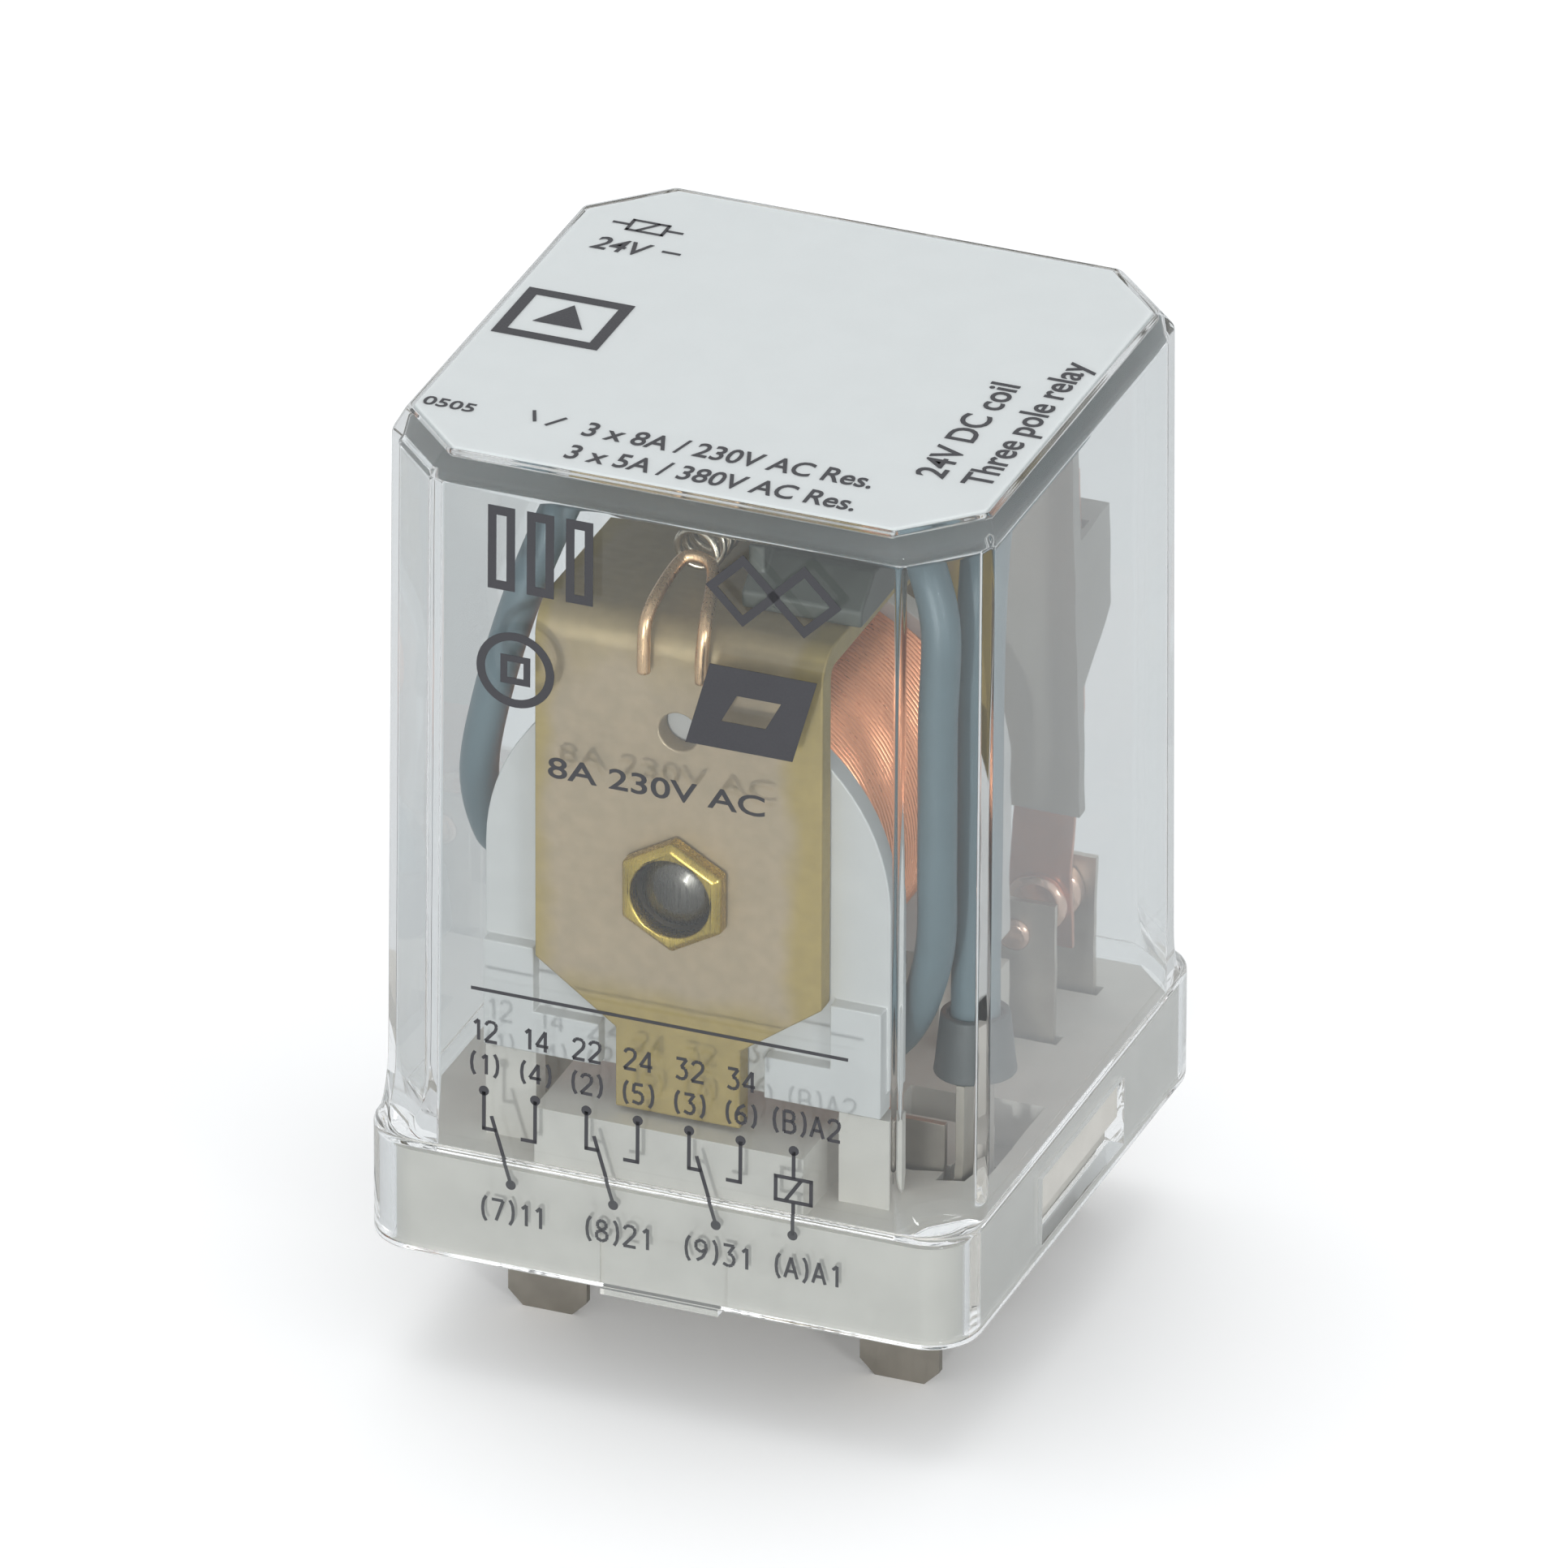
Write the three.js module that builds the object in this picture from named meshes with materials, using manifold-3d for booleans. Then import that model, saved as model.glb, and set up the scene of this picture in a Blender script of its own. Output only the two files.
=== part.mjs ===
// Plug-in power relay with eleven blades and three changeover contacts, in millimetres, +Z up.
//
// The front, with the circuit diagram on its cover, faces -Y. The relay stands on the tips of its
// blades at Z = 0. Inside this file heights are measured from the lower rim of the cover's skirt,
// and the finished group is raised so that the blade tips come to zero.

import * as THREE from 'three';
import { mergeVertices } from 'three/addons/utils/BufferGeometryUtils.js';
import Module from 'manifold-3d';

const wasm = await Module();
wasm.setup();

// ---------------------------------------------------------------- driving dimensions

// cover
const COVER_WIDTH = 36.0; // across the skirt
const COVER_DEPTH = 37.0;
const COVER_HEIGHT = 49.8;
const COVER_WALL = 1.15;
const ROOF_THICKNESS = 2.0;
const BODY_STEP = 0.1; // how far the body stands back from the skirt
const DRAFT_X = 0.16; // how much each side leans in from the rim to the shoulder
const DRAFT_Y = 0.7;
const CORNER_CHAMFER = 3.9;
const SKIRT_HEIGHT = 7.0;
const SKIRT_RADIUS = 3.0;
const RAMP_HEIGHT = 3.5; // from the skirt's corners up to the chamfered corners
const SHOULDER_HEIGHT = 1.2; // bevel round the top
const SHOULDER_INSET_X = 0.6;
const SHOULDER_INSET_Y = 0.8;
const TONGUE_WIDTH = 7.0; // at the middle of the front rim
const LATCH_WIDTH = 12.6;
const LATCH_BOTTOM = 0.9;
const LATCH_TOP = 5.1;

// marking plate let into the roof
const PLATE_THICKNESS = 0.7;
const PLATE_LIP = 0.3; // clear rim left round it

// base
const SEAT_DROP = 0.35; // underside of the base below the cover's rim
const DECK_HEIGHT = 6.0;
const BASE_CORNER = 1.8;
const BASE_FOOT_INSET = 1.2; // the underside is this much smaller all round
const SUPPORT_WIDTH = 3.0; // of the four posts under the flanges
const BARRIER_THICKNESS = 1.0; // walls between the poles
const LUG_HEIGHT = 2.1; // snap lugs in the cover's windows
const ISLAND_WIDTH = 16.0; // raised middle of the deck, under the yoke's tab

// blades
const BLADE_REACH = 7.5; // below the underside of the base
const BLADE_WIDTH = 4.75;
const BLADE_THICKNESS = 0.5;
const BLADE_TIP_CHAMFER = 0.9;
const BLADE_STEP = 0.05; // each face is set back this much where the blade enters the base
const SHANK_CLEARANCE = 0.15; // from that step up to the underside of the base
const POLE_PITCH = 10.2;
const COIL_ROW_SPREAD = 21.1;
const COIL_ROW_Y = -8.6;
const COM_ROW_Y = -0.6;
const NO_ROW_Y = 7.4;
const NC_ROW_Y = 13.6;
const RISER_WIDTH = 3.0; // of the outer common terminals, beside the coil
const LEFT_RISER_SETBACK = 4.2; // behind the coil's blades
const COIL_BLADE_DROP = 2.9; // tops of the coil's blades below the flanges

// magnet system
const CORE_Z = 24.4;
const CORE_RADIUS = 3.5;
const SPIGOT_RADIUS = 2.25;
const NUT_RADIUS = 3.4; // to its corners
const NUT_THICKNESS = 1.2;
const FLANGE_RADIUS = 12.0; // front flange
const FLANGE_THICKNESS = 1.4;
const FLANGE_DROP = 12.5; // straight lower edge of the flanges below the core's axis
const BOBBIN_LENGTH = 19.4;
const BOBBIN_WALL = 1.0;
const WINDING_LIP = 2.1; // front flange left standing round the winding
const REAR_LIP = 0.6; // the same for the smaller rear flange
const POLE_RADIUS = 4.6;
const POLE_THICKNESS = 1.4;
const DOME_HEIGHT = 0.8; // core's riveted end in front of the yoke, sunk in the nut
const PAD_THICKNESS = 0.9; // pads on the front flange, either side of the yoke's tab
const FLANGE_CORNER = 1.6;
const YOKE_FRONT_Y = -15.2;
const YOKE_THICKNESS = 1.3;
const YOKE_WIDTH = 17.0;
const YOKE_BEND = 1.9; // outside radius of the bend
const YOKE_HEADROOM = 2.8; // above the flanges
const YOKE_TAB_WIDTH = 7.4;
const YOKE_TAB_BOTTOM = 10.1;
const YOKE_TAPER_LOW = 15.0;
const YOKE_TAPER_HIGH = 18.5;
const TAB_GAP = 1.2; // from the tab to the pads on either side
const YOKE_HOLE_RADIUS = 1.15;
const YOKE_HOLE_Z = 34.2;

// moving system
const ARMATURE_THICKNESS = 1.4;
const ARMATURE_BOTTOM = 17.5;
const ARMATURE_STROKE_DEG = 3.4; // from released to pulled in
const TAIL_WIDTH = 6.0;
const TAIL_HEIGHT = 3.6; // above the hinge line
const CARRIER_PLATE = 0.9;
const CARRIER_DEPTH = 5.3;
const CARRIER_MARGIN = 2.6; // past the middle of the outer poles
const CARRIER_RISE = 1.6; // top of its plate above the hinge line
const CARRIER_BLOCK_TOP = 4.5; // below the hinge line
const CARRIER_BLOCK_HEIGHT = 6.5;
const CARRIER_WEB = 3.0; // slope under the block
const RIVET_RADIUS = 0.8;
const RIVET_LIFT = 4.5; // above the armature's lower edge
const HOOK_HOLE_RADIUS = 1.0; // for the spring, in the armature's tail
const HOOK_HOLE_DROP = 1.6; // below the tail's top
const SPRING_BLADE_WIDTH = 3.8;
const SPRING_BLADE_THICKNESS = 0.3;
const CONTACT_Z = 12.4;
const CONTACT_RADIUS = 1.8;
const CONTACT_HEIGHT = 0.9;
const SHANK_RADIUS = 0.55;

// flexible leads and coil wires
const LEAD_DIAMETER = 2.2;
const LEAD_STAGGER = 0.9; // right outer lead further out than the middle one
const MIDDLE_LEAD_DROP = 1.6; // its end below the top of its terminal
const SLEEVE_WALL = 0.45;
const SLEEVE_FLARE = 0.4; // wider at the bottom than at the top
const SLEEVE_LENGTH = 3.7;
const COIL_WIRE_DIAMETER = 0.4;

// return spring
const SPRING_RADIUS = 1.25; // to the middle of the wire
const SPRING_WIRE = 0.45;
const SPRING_TURNS = 13;
const SPRING_X = -0.8;
const SPRING_LIFT = 2.5; // axis above the yoke
const SPRING_FRONT = -10.7;
const SPRING_REAR = 2.5;
const HANGER_WIRE = 0.6;
const GUIDE_HEIGHT = 2.6;
const GUIDE_WALL = 1.0;
const GUIDE_FRONT = -11.5;
const GUIDE_REAR = 3.5;
const GUIDE_LEFT = 2.2;

// clearances
const CUT_GAP = 0.3; // between a piece and the slot or hole cut for it
const FACE_GAP = 0.1; // between faces that rest on each other
const REST_GAP = 0.2; // between contacts that meet in a turned position

// ---------------------------------------------------------------- sizes worked out from them

const RAISE = SEAT_DROP + BLADE_REACH;
const TIP_Z = -RAISE;
const SEAT_Z = -SEAT_DROP;
const halfWidth = COVER_WIDTH / 2;
const halfDepth = COVER_DEPTH / 2;
const shoulderZ = COVER_HEIGHT - SHOULDER_HEIGHT;
const skirtInnerX = halfWidth - COVER_WALL;
const skirtInnerY = halfDepth - COVER_WALL;
const bodyInnerX = halfWidth - BODY_STEP - COVER_WALL;
const bodyInnerY = halfDepth - BODY_STEP - COVER_WALL;
const topX = halfWidth - BODY_STEP - DRAFT_X - SHOULDER_INSET_X;
const topY = halfDepth - BODY_STEP - DRAFT_Y - SHOULDER_INSET_Y;
const innerChamfer = CORNER_CHAMFER - COVER_WALL * (2 - Math.SQRT2);

const yokeInnerY = YOKE_FRONT_Y + YOKE_THICKNESS;
const yokeUnderside = CORE_Z + FLANGE_RADIUS + YOKE_HEADROOM;
const yokeTop = yokeUnderside + YOKE_THICKNESS;
const bobbinFront = yokeInnerY + FACE_GAP;
const bobbinRear = bobbinFront + BOBBIN_LENGTH;
const flangeBottom = CORE_Z - FLANGE_DROP;
const windingRadius = FLANGE_RADIUS - WINDING_LIP;
const rearFlangeRadius = windingRadius + REAR_LIP;
const poleFace = bobbinRear + CUT_GAP + POLE_THICKNESS;

const stroke = THREE.MathUtils.degToRad(ARMATURE_STROKE_DEG);
const armatureFront = poleFace + REST_GAP;
const armatureBack = armatureFront + ARMATURE_THICKNESS;
const yokeRear = armatureFront - CUT_GAP;
const hingeY = (yokeRear + armatureFront) / 2;
const hingeZ = yokeTop;
const carrierFront = armatureBack + FACE_GAP;
const carrierHalf = POLE_PITCH + CARRIER_MARGIN;
const bladeShank = BLADE_THICKNESS - 2 * BLADE_STEP;
const noFaceY = NO_ROW_Y + bladeShank / 2;
const ncFaceY = NC_ROW_Y - bladeShank / 2;
const movingHalf = SPRING_BLADE_THICKNESS / 2 + FACE_GAP / 2 + CONTACT_HEIGHT - REST_GAP;
const movingY = noFaceY + CONTACT_HEIGHT + FACE_GAP + movingHalf;
const contactTravel = (hingeZ - CONTACT_Z) * Math.sin(stroke);
const ncContactHeight = ncFaceY - (movingY + movingHalf + contactTravel) - REST_GAP;

const leadRadius = LEAD_DIAMETER / 2;
const leadLane = FLANGE_RADIUS + CUT_GAP + leadRadius; // nearest a lead runs to the middle
const coilBladeClear = COIL_ROW_SPREAD / 2 + BLADE_WIDTH / 2 + 1.5 * CUT_GAP;
const outerLeadX = Math.max(leadLane + LEAD_STAGGER, coilBladeClear + BLADE_THICKNESS);
const coilBladeTop = flangeBottom - COIL_BLADE_DROP;
const poles = [-POLE_PITCH, 0, POLE_PITCH];

// ---------------------------------------------------------------- materials

function finish(color, roughness, metalness = 0) {
  return new THREE.MeshStandardMaterial({ color, roughness, metalness });
}

const clearPolycarbonate = finish(0xdfe6e8, 0.08);
clearPolycarbonate.transparent = true;
clearPolycarbonate.opacity = 0.25;
const whitePlastic = finish(0xe4e8e9, 0.5);
const greyPlastic = finish(0xc6c4be, 0.55);
const bobbinPlastic = finish(0xe8eaea, 0.45);
const carrierPlastic = finish(0x8f9a96, 0.5);
const darkPlastic = finish(0x4d544f, 0.5);
const passivatedSteel = finish(0xb4a06e, 0.35, 0.9);
const bareIron = finish(0x6d6b66, 0.3, 0.9);
const brass = finish(0xd0b45a, 0.25, 1);
const copper = finish(0xd98e6c, 0.35, 0.9);
const bronze = finish(0xa87a62, 0.3, 0.9);
const silver = finish(0xcbb6a8, 0.25, 1);
const tinnedBrass = finish(0xb9b3a6, 0.35, 0.9);
const springSteel = finish(0x9b9487, 0.3, 1);
const leadInsulation = finish(0x7b8f96, 0.5);
const darkSleeve = finish(0x565f60, 0.5);

// ---------------------------------------------------------------- shapes

function solidOf(geometry) {
  const plain = geometry.clone();
  plain.deleteAttribute('normal');
  plain.deleteAttribute('uv');
  const merged = mergeVertices(plain, 1e-4);
  return new wasm.Manifold(new wasm.Mesh({
    numProp: 3,
    vertProperties: new Float32Array(merged.attributes.position.array),
    triVerts: new Uint32Array(merged.index.array),
  }));
}

function geometryOf(solid) {
  const { numProp, vertProperties, triVerts } = solid.getMesh();
  const geometry = new THREE.BufferGeometry();
  const positions = new Float32Array((vertProperties.length / numProp) * 3);
  for (let i = 0; i * numProp < vertProperties.length; i += 1) {
    positions.set(vertProperties.subarray(i * numProp, i * numProp + 3), i * 3);
  }
  geometry.setAttribute('position', new THREE.BufferAttribute(positions, 3));
  geometry.setIndex(new THREE.BufferAttribute(new Uint32Array(triVerts), 1));
  const flat = geometry.toNonIndexed();
  flat.computeVertexNormals();
  return flat;
}

function join(...geometries) {
  return geometryOf(geometries.map(solidOf).reduce((whole, next) => whole.add(next)));
}

function cut(geometry, ...tools) {
  return geometryOf(tools.map(solidOf).reduce((whole, tool) => whole.subtract(tool), solidOf(geometry)));
}

function block(x0, x1, y0, y1, z0, z1) {
  const geometry = new THREE.BoxGeometry(x1 - x0, y1 - y0, z1 - z0);
  return geometry.translate((x0 + x1) / 2, (y0 + y1) / 2, (z0 + z1) / 2);
}

function outline(points) {
  return new THREE.Shape(points.map(([u, v]) => new THREE.Vector2(u, v)));
}

function extrude(shape, depth, curveSegments = 10) {
  return new THREE.ExtrudeGeometry(shape, { depth, bevelEnabled: false, curveSegments });
}

// A shape in X and Y, raised along Z.
function prism(shape, z0, z1, curveSegments) {
  return extrude(shape, z1 - z0, curveSegments).translate(0, 0, z0);
}

// A shape in X and Z, seen from the front, with its thickness along Y.
function frontPlate(shape, yFront, yBack, curveSegments) {
  return extrude(shape, yBack - yFront, curveSegments).rotateX(Math.PI / 2).translate(0, yBack, 0);
}

// A shape in Y and Z, seen from the side, with its width along X.
function sidePlate(shape, x0, x1, curveSegments) {
  const turn = new THREE.Matrix4().makeBasis(
    new THREE.Vector3(0, 1, 0),
    new THREE.Vector3(0, 0, 1),
    new THREE.Vector3(1, 0, 0),
  );
  return extrude(shape, x1 - x0, curveSegments).applyMatrix4(turn).translate(x0, 0, 0);
}

// A profile of [radius, y] pairs turned about a line along Y. It runs anticlockwise.
function turned(profile, segments = 24) {
  return new THREE.LatheGeometry(profile.map(([r, y]) => new THREE.Vector2(r, y)), segments);
}

function rod(radius, y0, y1, segments) {
  return turned([[0, y0], [radius, y0], [radius, y1], [0, y1]], segments);
}

function chamferedRectangle(hx, hy, chamfer) {
  return outline([
    [-hx + chamfer, -hy], [hx - chamfer, -hy], [hx, -hy + chamfer], [hx, hy - chamfer],
    [hx - chamfer, hy], [-hx + chamfer, hy], [-hx, hy - chamfer], [-hx, -hy + chamfer],
  ]);
}

function roundedRectangle(hx, hy, radius) {
  const shape = new THREE.Shape();
  shape.absarc(hx - radius, -hy + radius, radius, -Math.PI / 2, 0);
  shape.absarc(hx - radius, hy - radius, radius, 0, Math.PI / 2);
  shape.absarc(-hx + radius, hy - radius, radius, Math.PI / 2, Math.PI);
  shape.absarc(-hx + radius, -hy + radius, radius, Math.PI, 1.5 * Math.PI);
  return shape;
}

// Moves every point to where `move` puts it. `move` gets the point as a Vector3.
function reshaped(geometry, move) {
  const position = geometry.attributes.position;
  const point = new THREE.Vector3();
  for (let i = 0; i < position.count; i += 1) {
    point.fromBufferAttribute(position, i);
    move(point);
    position.setXYZ(i, point.x, point.y, point.z);
  }
  return geometry;
}

// Leans the sides of an upright prism in, by insetX and insetY at its top.
function leaned(geometry, z0, z1, insetX, insetY) {
  return reshaped(geometry, (point) => {
    const share = (point.z - z0) / (z1 - z0);
    point.x -= Math.sign(point.x) * insetX * share;
    point.y -= Math.sign(point.y) * insetY * share;
  });
}

// Round wire along a smooth curve through the points.
function wire(points, diameter, steps, sides = 8) {
  const path = new THREE.CatmullRomCurve3(points.map((p) => new THREE.Vector3(...p)), false, 'centripetal');
  const section = new THREE.Shape();
  section.absarc(0, 0, diameter / 2, 0, 2 * Math.PI);
  return new THREE.ExtrudeGeometry(section, {
    steps, extrudePath: path, bevelEnabled: false, curveSegments: sides,
  });
}

function piece(name, geometry, material) {
  const mesh = new THREE.Mesh(geometry, material);
  mesh.name = name;
  return mesh;
}

// ---------------------------------------------------------------- cover and marking plate

function coverOuter() {
  const hx = halfWidth - BODY_STEP;
  const hy = halfDepth - BODY_STEP;
  const body = prism(chamferedRectangle(hx, hy, CORNER_CHAMFER), 0, shoulderZ);
  const topShape = chamferedRectangle(hx - DRAFT_X, hy - DRAFT_Y, CORNER_CHAMFER);
  const top = prism(topShape, shoulderZ, COVER_HEIGHT);
  const skirt = prism(roundedRectangle(halfWidth, halfDepth, SKIRT_RADIUS), 0, SKIRT_HEIGHT, 6);
  const rampTop = SKIRT_HEIGHT + RAMP_HEIGHT;
  const ramp = prism(roundedRectangle(hx, hy, SKIRT_RADIUS), SKIRT_HEIGHT - CUT_GAP, rampTop, 6);
  const cornerLimit = hx + hy - CORNER_CHAMFER;
  reshaped(ramp, (point) => {
    const excess = Math.abs(point.x) + Math.abs(point.y) - cornerLimit;
    if (point.z > SKIRT_HEIGHT && excess > 0) {
      point.x -= Math.sign(point.x) * (excess / 2);
      point.y -= Math.sign(point.y) * (excess / 2);
    }
  });
  const lean = rampTop / shoulderZ;
  leaned(ramp, SKIRT_HEIGHT - CUT_GAP, rampTop, DRAFT_X * lean, DRAFT_Y * lean);
  return join(
    leaned(body, 0, shoulderZ, DRAFT_X, DRAFT_Y),
    leaned(top, shoulderZ, COVER_HEIGHT, SHOULDER_INSET_X, SHOULDER_INSET_Y),
    skirt,
    ramp,
    block(-TONGUE_WIDTH / 2, TONGUE_WIDTH / 2, -halfDepth, -skirtInnerY, SEAT_Z, SKIRT_HEIGHT / 2),
  );
}

function coverHollow() {
  const roof = COVER_HEIGHT - ROOF_THICKNESS;
  const inside = prism(chamferedRectangle(bodyInnerX, bodyInnerY, innerChamfer), -1, roof);
  const skirtInside = roundedRectangle(skirtInnerX, skirtInnerY, SKIRT_RADIUS - COVER_WALL);
  const ledge = DECK_HEIGHT + CUT_GAP;
  return [
    leaned(inside, 0, shoulderZ, DRAFT_X, DRAFT_Y),
    prism(skirtInside, -2, ledge, 6),
  ];
}

function markingRecess(gap) {
  const shape = chamferedRectangle(topX - PLATE_LIP + gap, topY - PLATE_LIP + gap, CORNER_CHAMFER);
  return prism(shape, COVER_HEIGHT - PLATE_THICKNESS - gap, COVER_HEIGHT + gap);
}

function makeCover() {
  const windows = [-1, 1].map((side) => block(
    side * halfWidth - COVER_WALL * 1.5, side * halfWidth + COVER_WALL * 1.5,
    -LATCH_WIDTH / 2, LATCH_WIDTH / 2, LATCH_BOTTOM, LATCH_TOP,
  ));
  const shell = cut(coverOuter(), ...coverHollow(), markingRecess(FACE_GAP), ...windows);
  return piece('cover', shell, clearPolycarbonate);
}

function makeMarkingPlate() {
  return piece('marking_plate', markingRecess(0), whitePlastic);
}

// ---------------------------------------------------------------- terminals

// Where the leads of the outer poles end, by side: beside the coil, the left one further back.
const risers = {
  '-1': { x: leadLane, y: COIL_ROW_Y + LEFT_RISER_SETBACK },
  1: { x: outerLeadX, y: COIL_ROW_Y },
};
const riserTop = CONTACT_Z;
const middleRiserTop = flangeBottom - leadRadius;
const middleLeadZ = middleRiserTop - MIDDLE_LEAD_DROP;
const middleLeadEnd = COM_ROW_Y - BLADE_THICKNESS / 2 - CUT_GAP;

// A blade from its chamfered tip up to `top`. Its faces step back just below the base, so that
// the outside of the blade is a face of its own.
function bladePlate(x, y, top) {
  const half = BLADE_WIDTH / 2;
  const stepZ = SEAT_Z - SHANK_CLEARANCE;
  const outside = outline([
    [x - half + BLADE_TIP_CHAMFER, TIP_Z], [x + half - BLADE_TIP_CHAMFER, TIP_Z],
    [x + half, TIP_Z + BLADE_TIP_CHAMFER], [x + half, stepZ],
    [x - half, stepZ], [x - half, TIP_Z + BLADE_TIP_CHAMFER],
  ]);
  return join(
    frontPlate(outside, y - BLADE_THICKNESS / 2, y + BLADE_THICKNESS / 2),
    block(x - half, x + half, y - bladeShank / 2, y + bladeShank / 2, stepZ - BLADE_THICKNESS, top),
  );
}

// Plate that carries a fixed contact, with a hole for the contact's shank.
function contactTerminal(x, y) {
  const plate = bladePlate(x, y, CONTACT_Z + CONTACT_RADIUS + CUT_GAP);
  const hole = rod(SHANK_RADIUS + FACE_GAP, y - 1, y + 1, 16).translate(x, 0, CONTACT_Z);
  return cut(plate, hole);
}

// Outer common terminal: a blade, a link let into the deck and a riser beside the coil. The link
// turns forward outside the coil's blade.
const LINK_Z = DECK_HEIGHT / 2;

// A block on one side of the relay: x runs from `inner` out to `outer` whichever side it is.
function sideBlock(side, inner, outer, y0, y1, z0, z1) {
  const [x0, x1] = side > 0 ? [inner, outer] : [-outer, -inner];
  return block(x0, x1, y0, y1, z0, z1);
}

// The riser's foot, as x from inside to outside and y from front to back. One that reaches the
// coil's blade keeps outside it.
function riserFoot(side) {
  const { x, y } = risers[side];
  const outer = x + BLADE_THICKNESS / 2;
  const inner = outer - RISER_WIDTH / 2;
  const front = y - RISER_WIDTH / 2;
  const reachesCoilBlade = front < COIL_ROW_Y + BLADE_THICKNESS / 2 + 2 * CUT_GAP;
  return {
    inner: reachesCoilBlade ? Math.max(inner, coilBladeClear) : inner,
    outer,
    front,
    back: y + RISER_WIDTH / 2,
  };
}

function outerCommonTerminal(side) {
  const half = BLADE_THICKNESS / 2;
  const foot = riserFoot(side);
  const z0 = LINK_Z - half;
  const z1 = LINK_Z + half;
  return join(
    bladePlate(side * POLE_PITCH, COM_ROW_Y, z1),
    sideBlock(
      side, POLE_PITCH - BLADE_WIDTH / 2, foot.outer, COM_ROW_Y - half - 2, COM_ROW_Y + half, z0, z1,
    ),
    sideBlock(side, foot.inner, foot.outer, foot.front, COM_ROW_Y, z0, z1),
    sideBlock(side, foot.outer - BLADE_THICKNESS, foot.outer, foot.front, foot.back, z0, riserTop),
  );
}

// The channels in the deck that take an outer common terminal.
function commonChannels(side) {
  const half = BLADE_THICKNESS / 2 + CUT_GAP;
  const foot = riserFoot(side);
  const inner = POLE_PITCH - BLADE_WIDTH / 2 - CUT_GAP;
  const outer = foot.outer + CUT_GAP;
  const back = COM_ROW_Y + half;
  const z0 = LINK_Z - half;
  const z1 = DECK_HEIGHT + 1;
  return [
    sideBlock(side, inner, outer, COM_ROW_Y - half - 2, back, z0, z1),
    sideBlock(side, foot.inner - CUT_GAP, outer, foot.front - CUT_GAP, back, z0, z1),
  ];
}

function makeTerminals() {
  const commons = poles.map((x, i) => {
    const geometry = x === 0 ? bladePlate(x, COM_ROW_Y, middleRiserTop) : outerCommonTerminal(Math.sign(x));
    return piece(`com_terminal_${i + 1}`, geometry, tinnedBrass);
  });
  const fixed = poles.flatMap((x, i) => [
    piece(`no_terminal_${i + 1}`, contactTerminal(x, NO_ROW_Y), tinnedBrass),
    piece(`nc_terminal_${i + 1}`, contactTerminal(x, NC_ROW_Y), tinnedBrass),
  ]);
  const coil = [['a', 1], ['b', -1]].map(([letter, side]) => piece(
    `coil_terminal_${letter}`,
    bladePlate(side * COIL_ROW_SPREAD / 2, COIL_ROW_Y, coilBladeTop),
    tinnedBrass,
  ));
  return [...commons, ...fixed, ...coil];
}

// ---------------------------------------------------------------- fixed contacts

// A contact riveted through a plate: a low dome on one side and a small closing head on the other.
function contactRivet(height, plateThickness) {
  const neck = FACE_GAP / 2;
  const back = -plateThickness - neck;
  return turned([
    [0, back - 0.4], [0.8, back - 0.4], [1.0, back - 0.2], [1.0, back],
    [SHANK_RADIUS, back], [SHANK_RADIUS, neck], [CONTACT_RADIUS, neck],
    [CONTACT_RADIUS, height - 0.3], [CONTACT_RADIUS - 0.4, height - 0.05], [0, height],
  ], 14);
}

function makeFixedContacts() {
  return poles.flatMap((x, i) => {
    const open = contactRivet(CONTACT_HEIGHT, bladeShank).translate(x, noFaceY, CONTACT_Z);
    const closed = contactRivet(ncContactHeight, bladeShank).rotateZ(Math.PI);
    closed.translate(x, ncFaceY, CONTACT_Z);
    return [
      piece(`no_contact_${i + 1}`, open, silver),
      piece(`nc_contact_${i + 1}`, closed, silver),
    ];
  });
}

// ---------------------------------------------------------------- base

function slotFor(x, y) {
  const half = BLADE_WIDTH / 2 + CUT_GAP;
  const thick = BLADE_THICKNESS / 2 + CUT_GAP;
  return block(x - half, x + half, y - thick, y + thick, SEAT_Z - 1, CONTACT_Z);
}

// Four posts that carry the bobbin's flanges.
function bobbinSupports() {
  const rows = [
    [FLANGE_RADIUS, bobbinFront],
    [rearFlangeRadius, bobbinRear - FLANGE_THICKNESS],
  ];
  return [-1, 1].flatMap((side) => rows.map(([radius, y]) => sideBlock(
    side, radius - SUPPORT_WIDTH, radius, y, y + FLANGE_THICKNESS, DECK_HEIGHT - 1, flangeBottom - CUT_GAP,
  )));
}

// Walls between neighbouring poles' contacts.
function poleBarriers(back) {
  return [-1, 1].map((side) => {
    const x = side * POLE_PITCH / 2;
    const half = BARRIER_THICKNESS / 2;
    const top = CONTACT_Z + CONTACT_RADIUS + 1;
    return block(x - half, x + half, bobbinRear + 1, back, DECK_HEIGHT - 1, top);
  });
}

// Lugs that snap into the cover's windows.
function snapLugs(inner) {
  const halfLength = LATCH_WIDTH / 2 - CUT_GAP;
  const top = LATCH_TOP - CUT_GAP;
  return [-1, 1].map((side) => sideBlock(
    side, inner, halfWidth - CUT_GAP, -halfLength, halfLength, top - LUG_HEIGHT, top,
  ));
}

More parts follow.
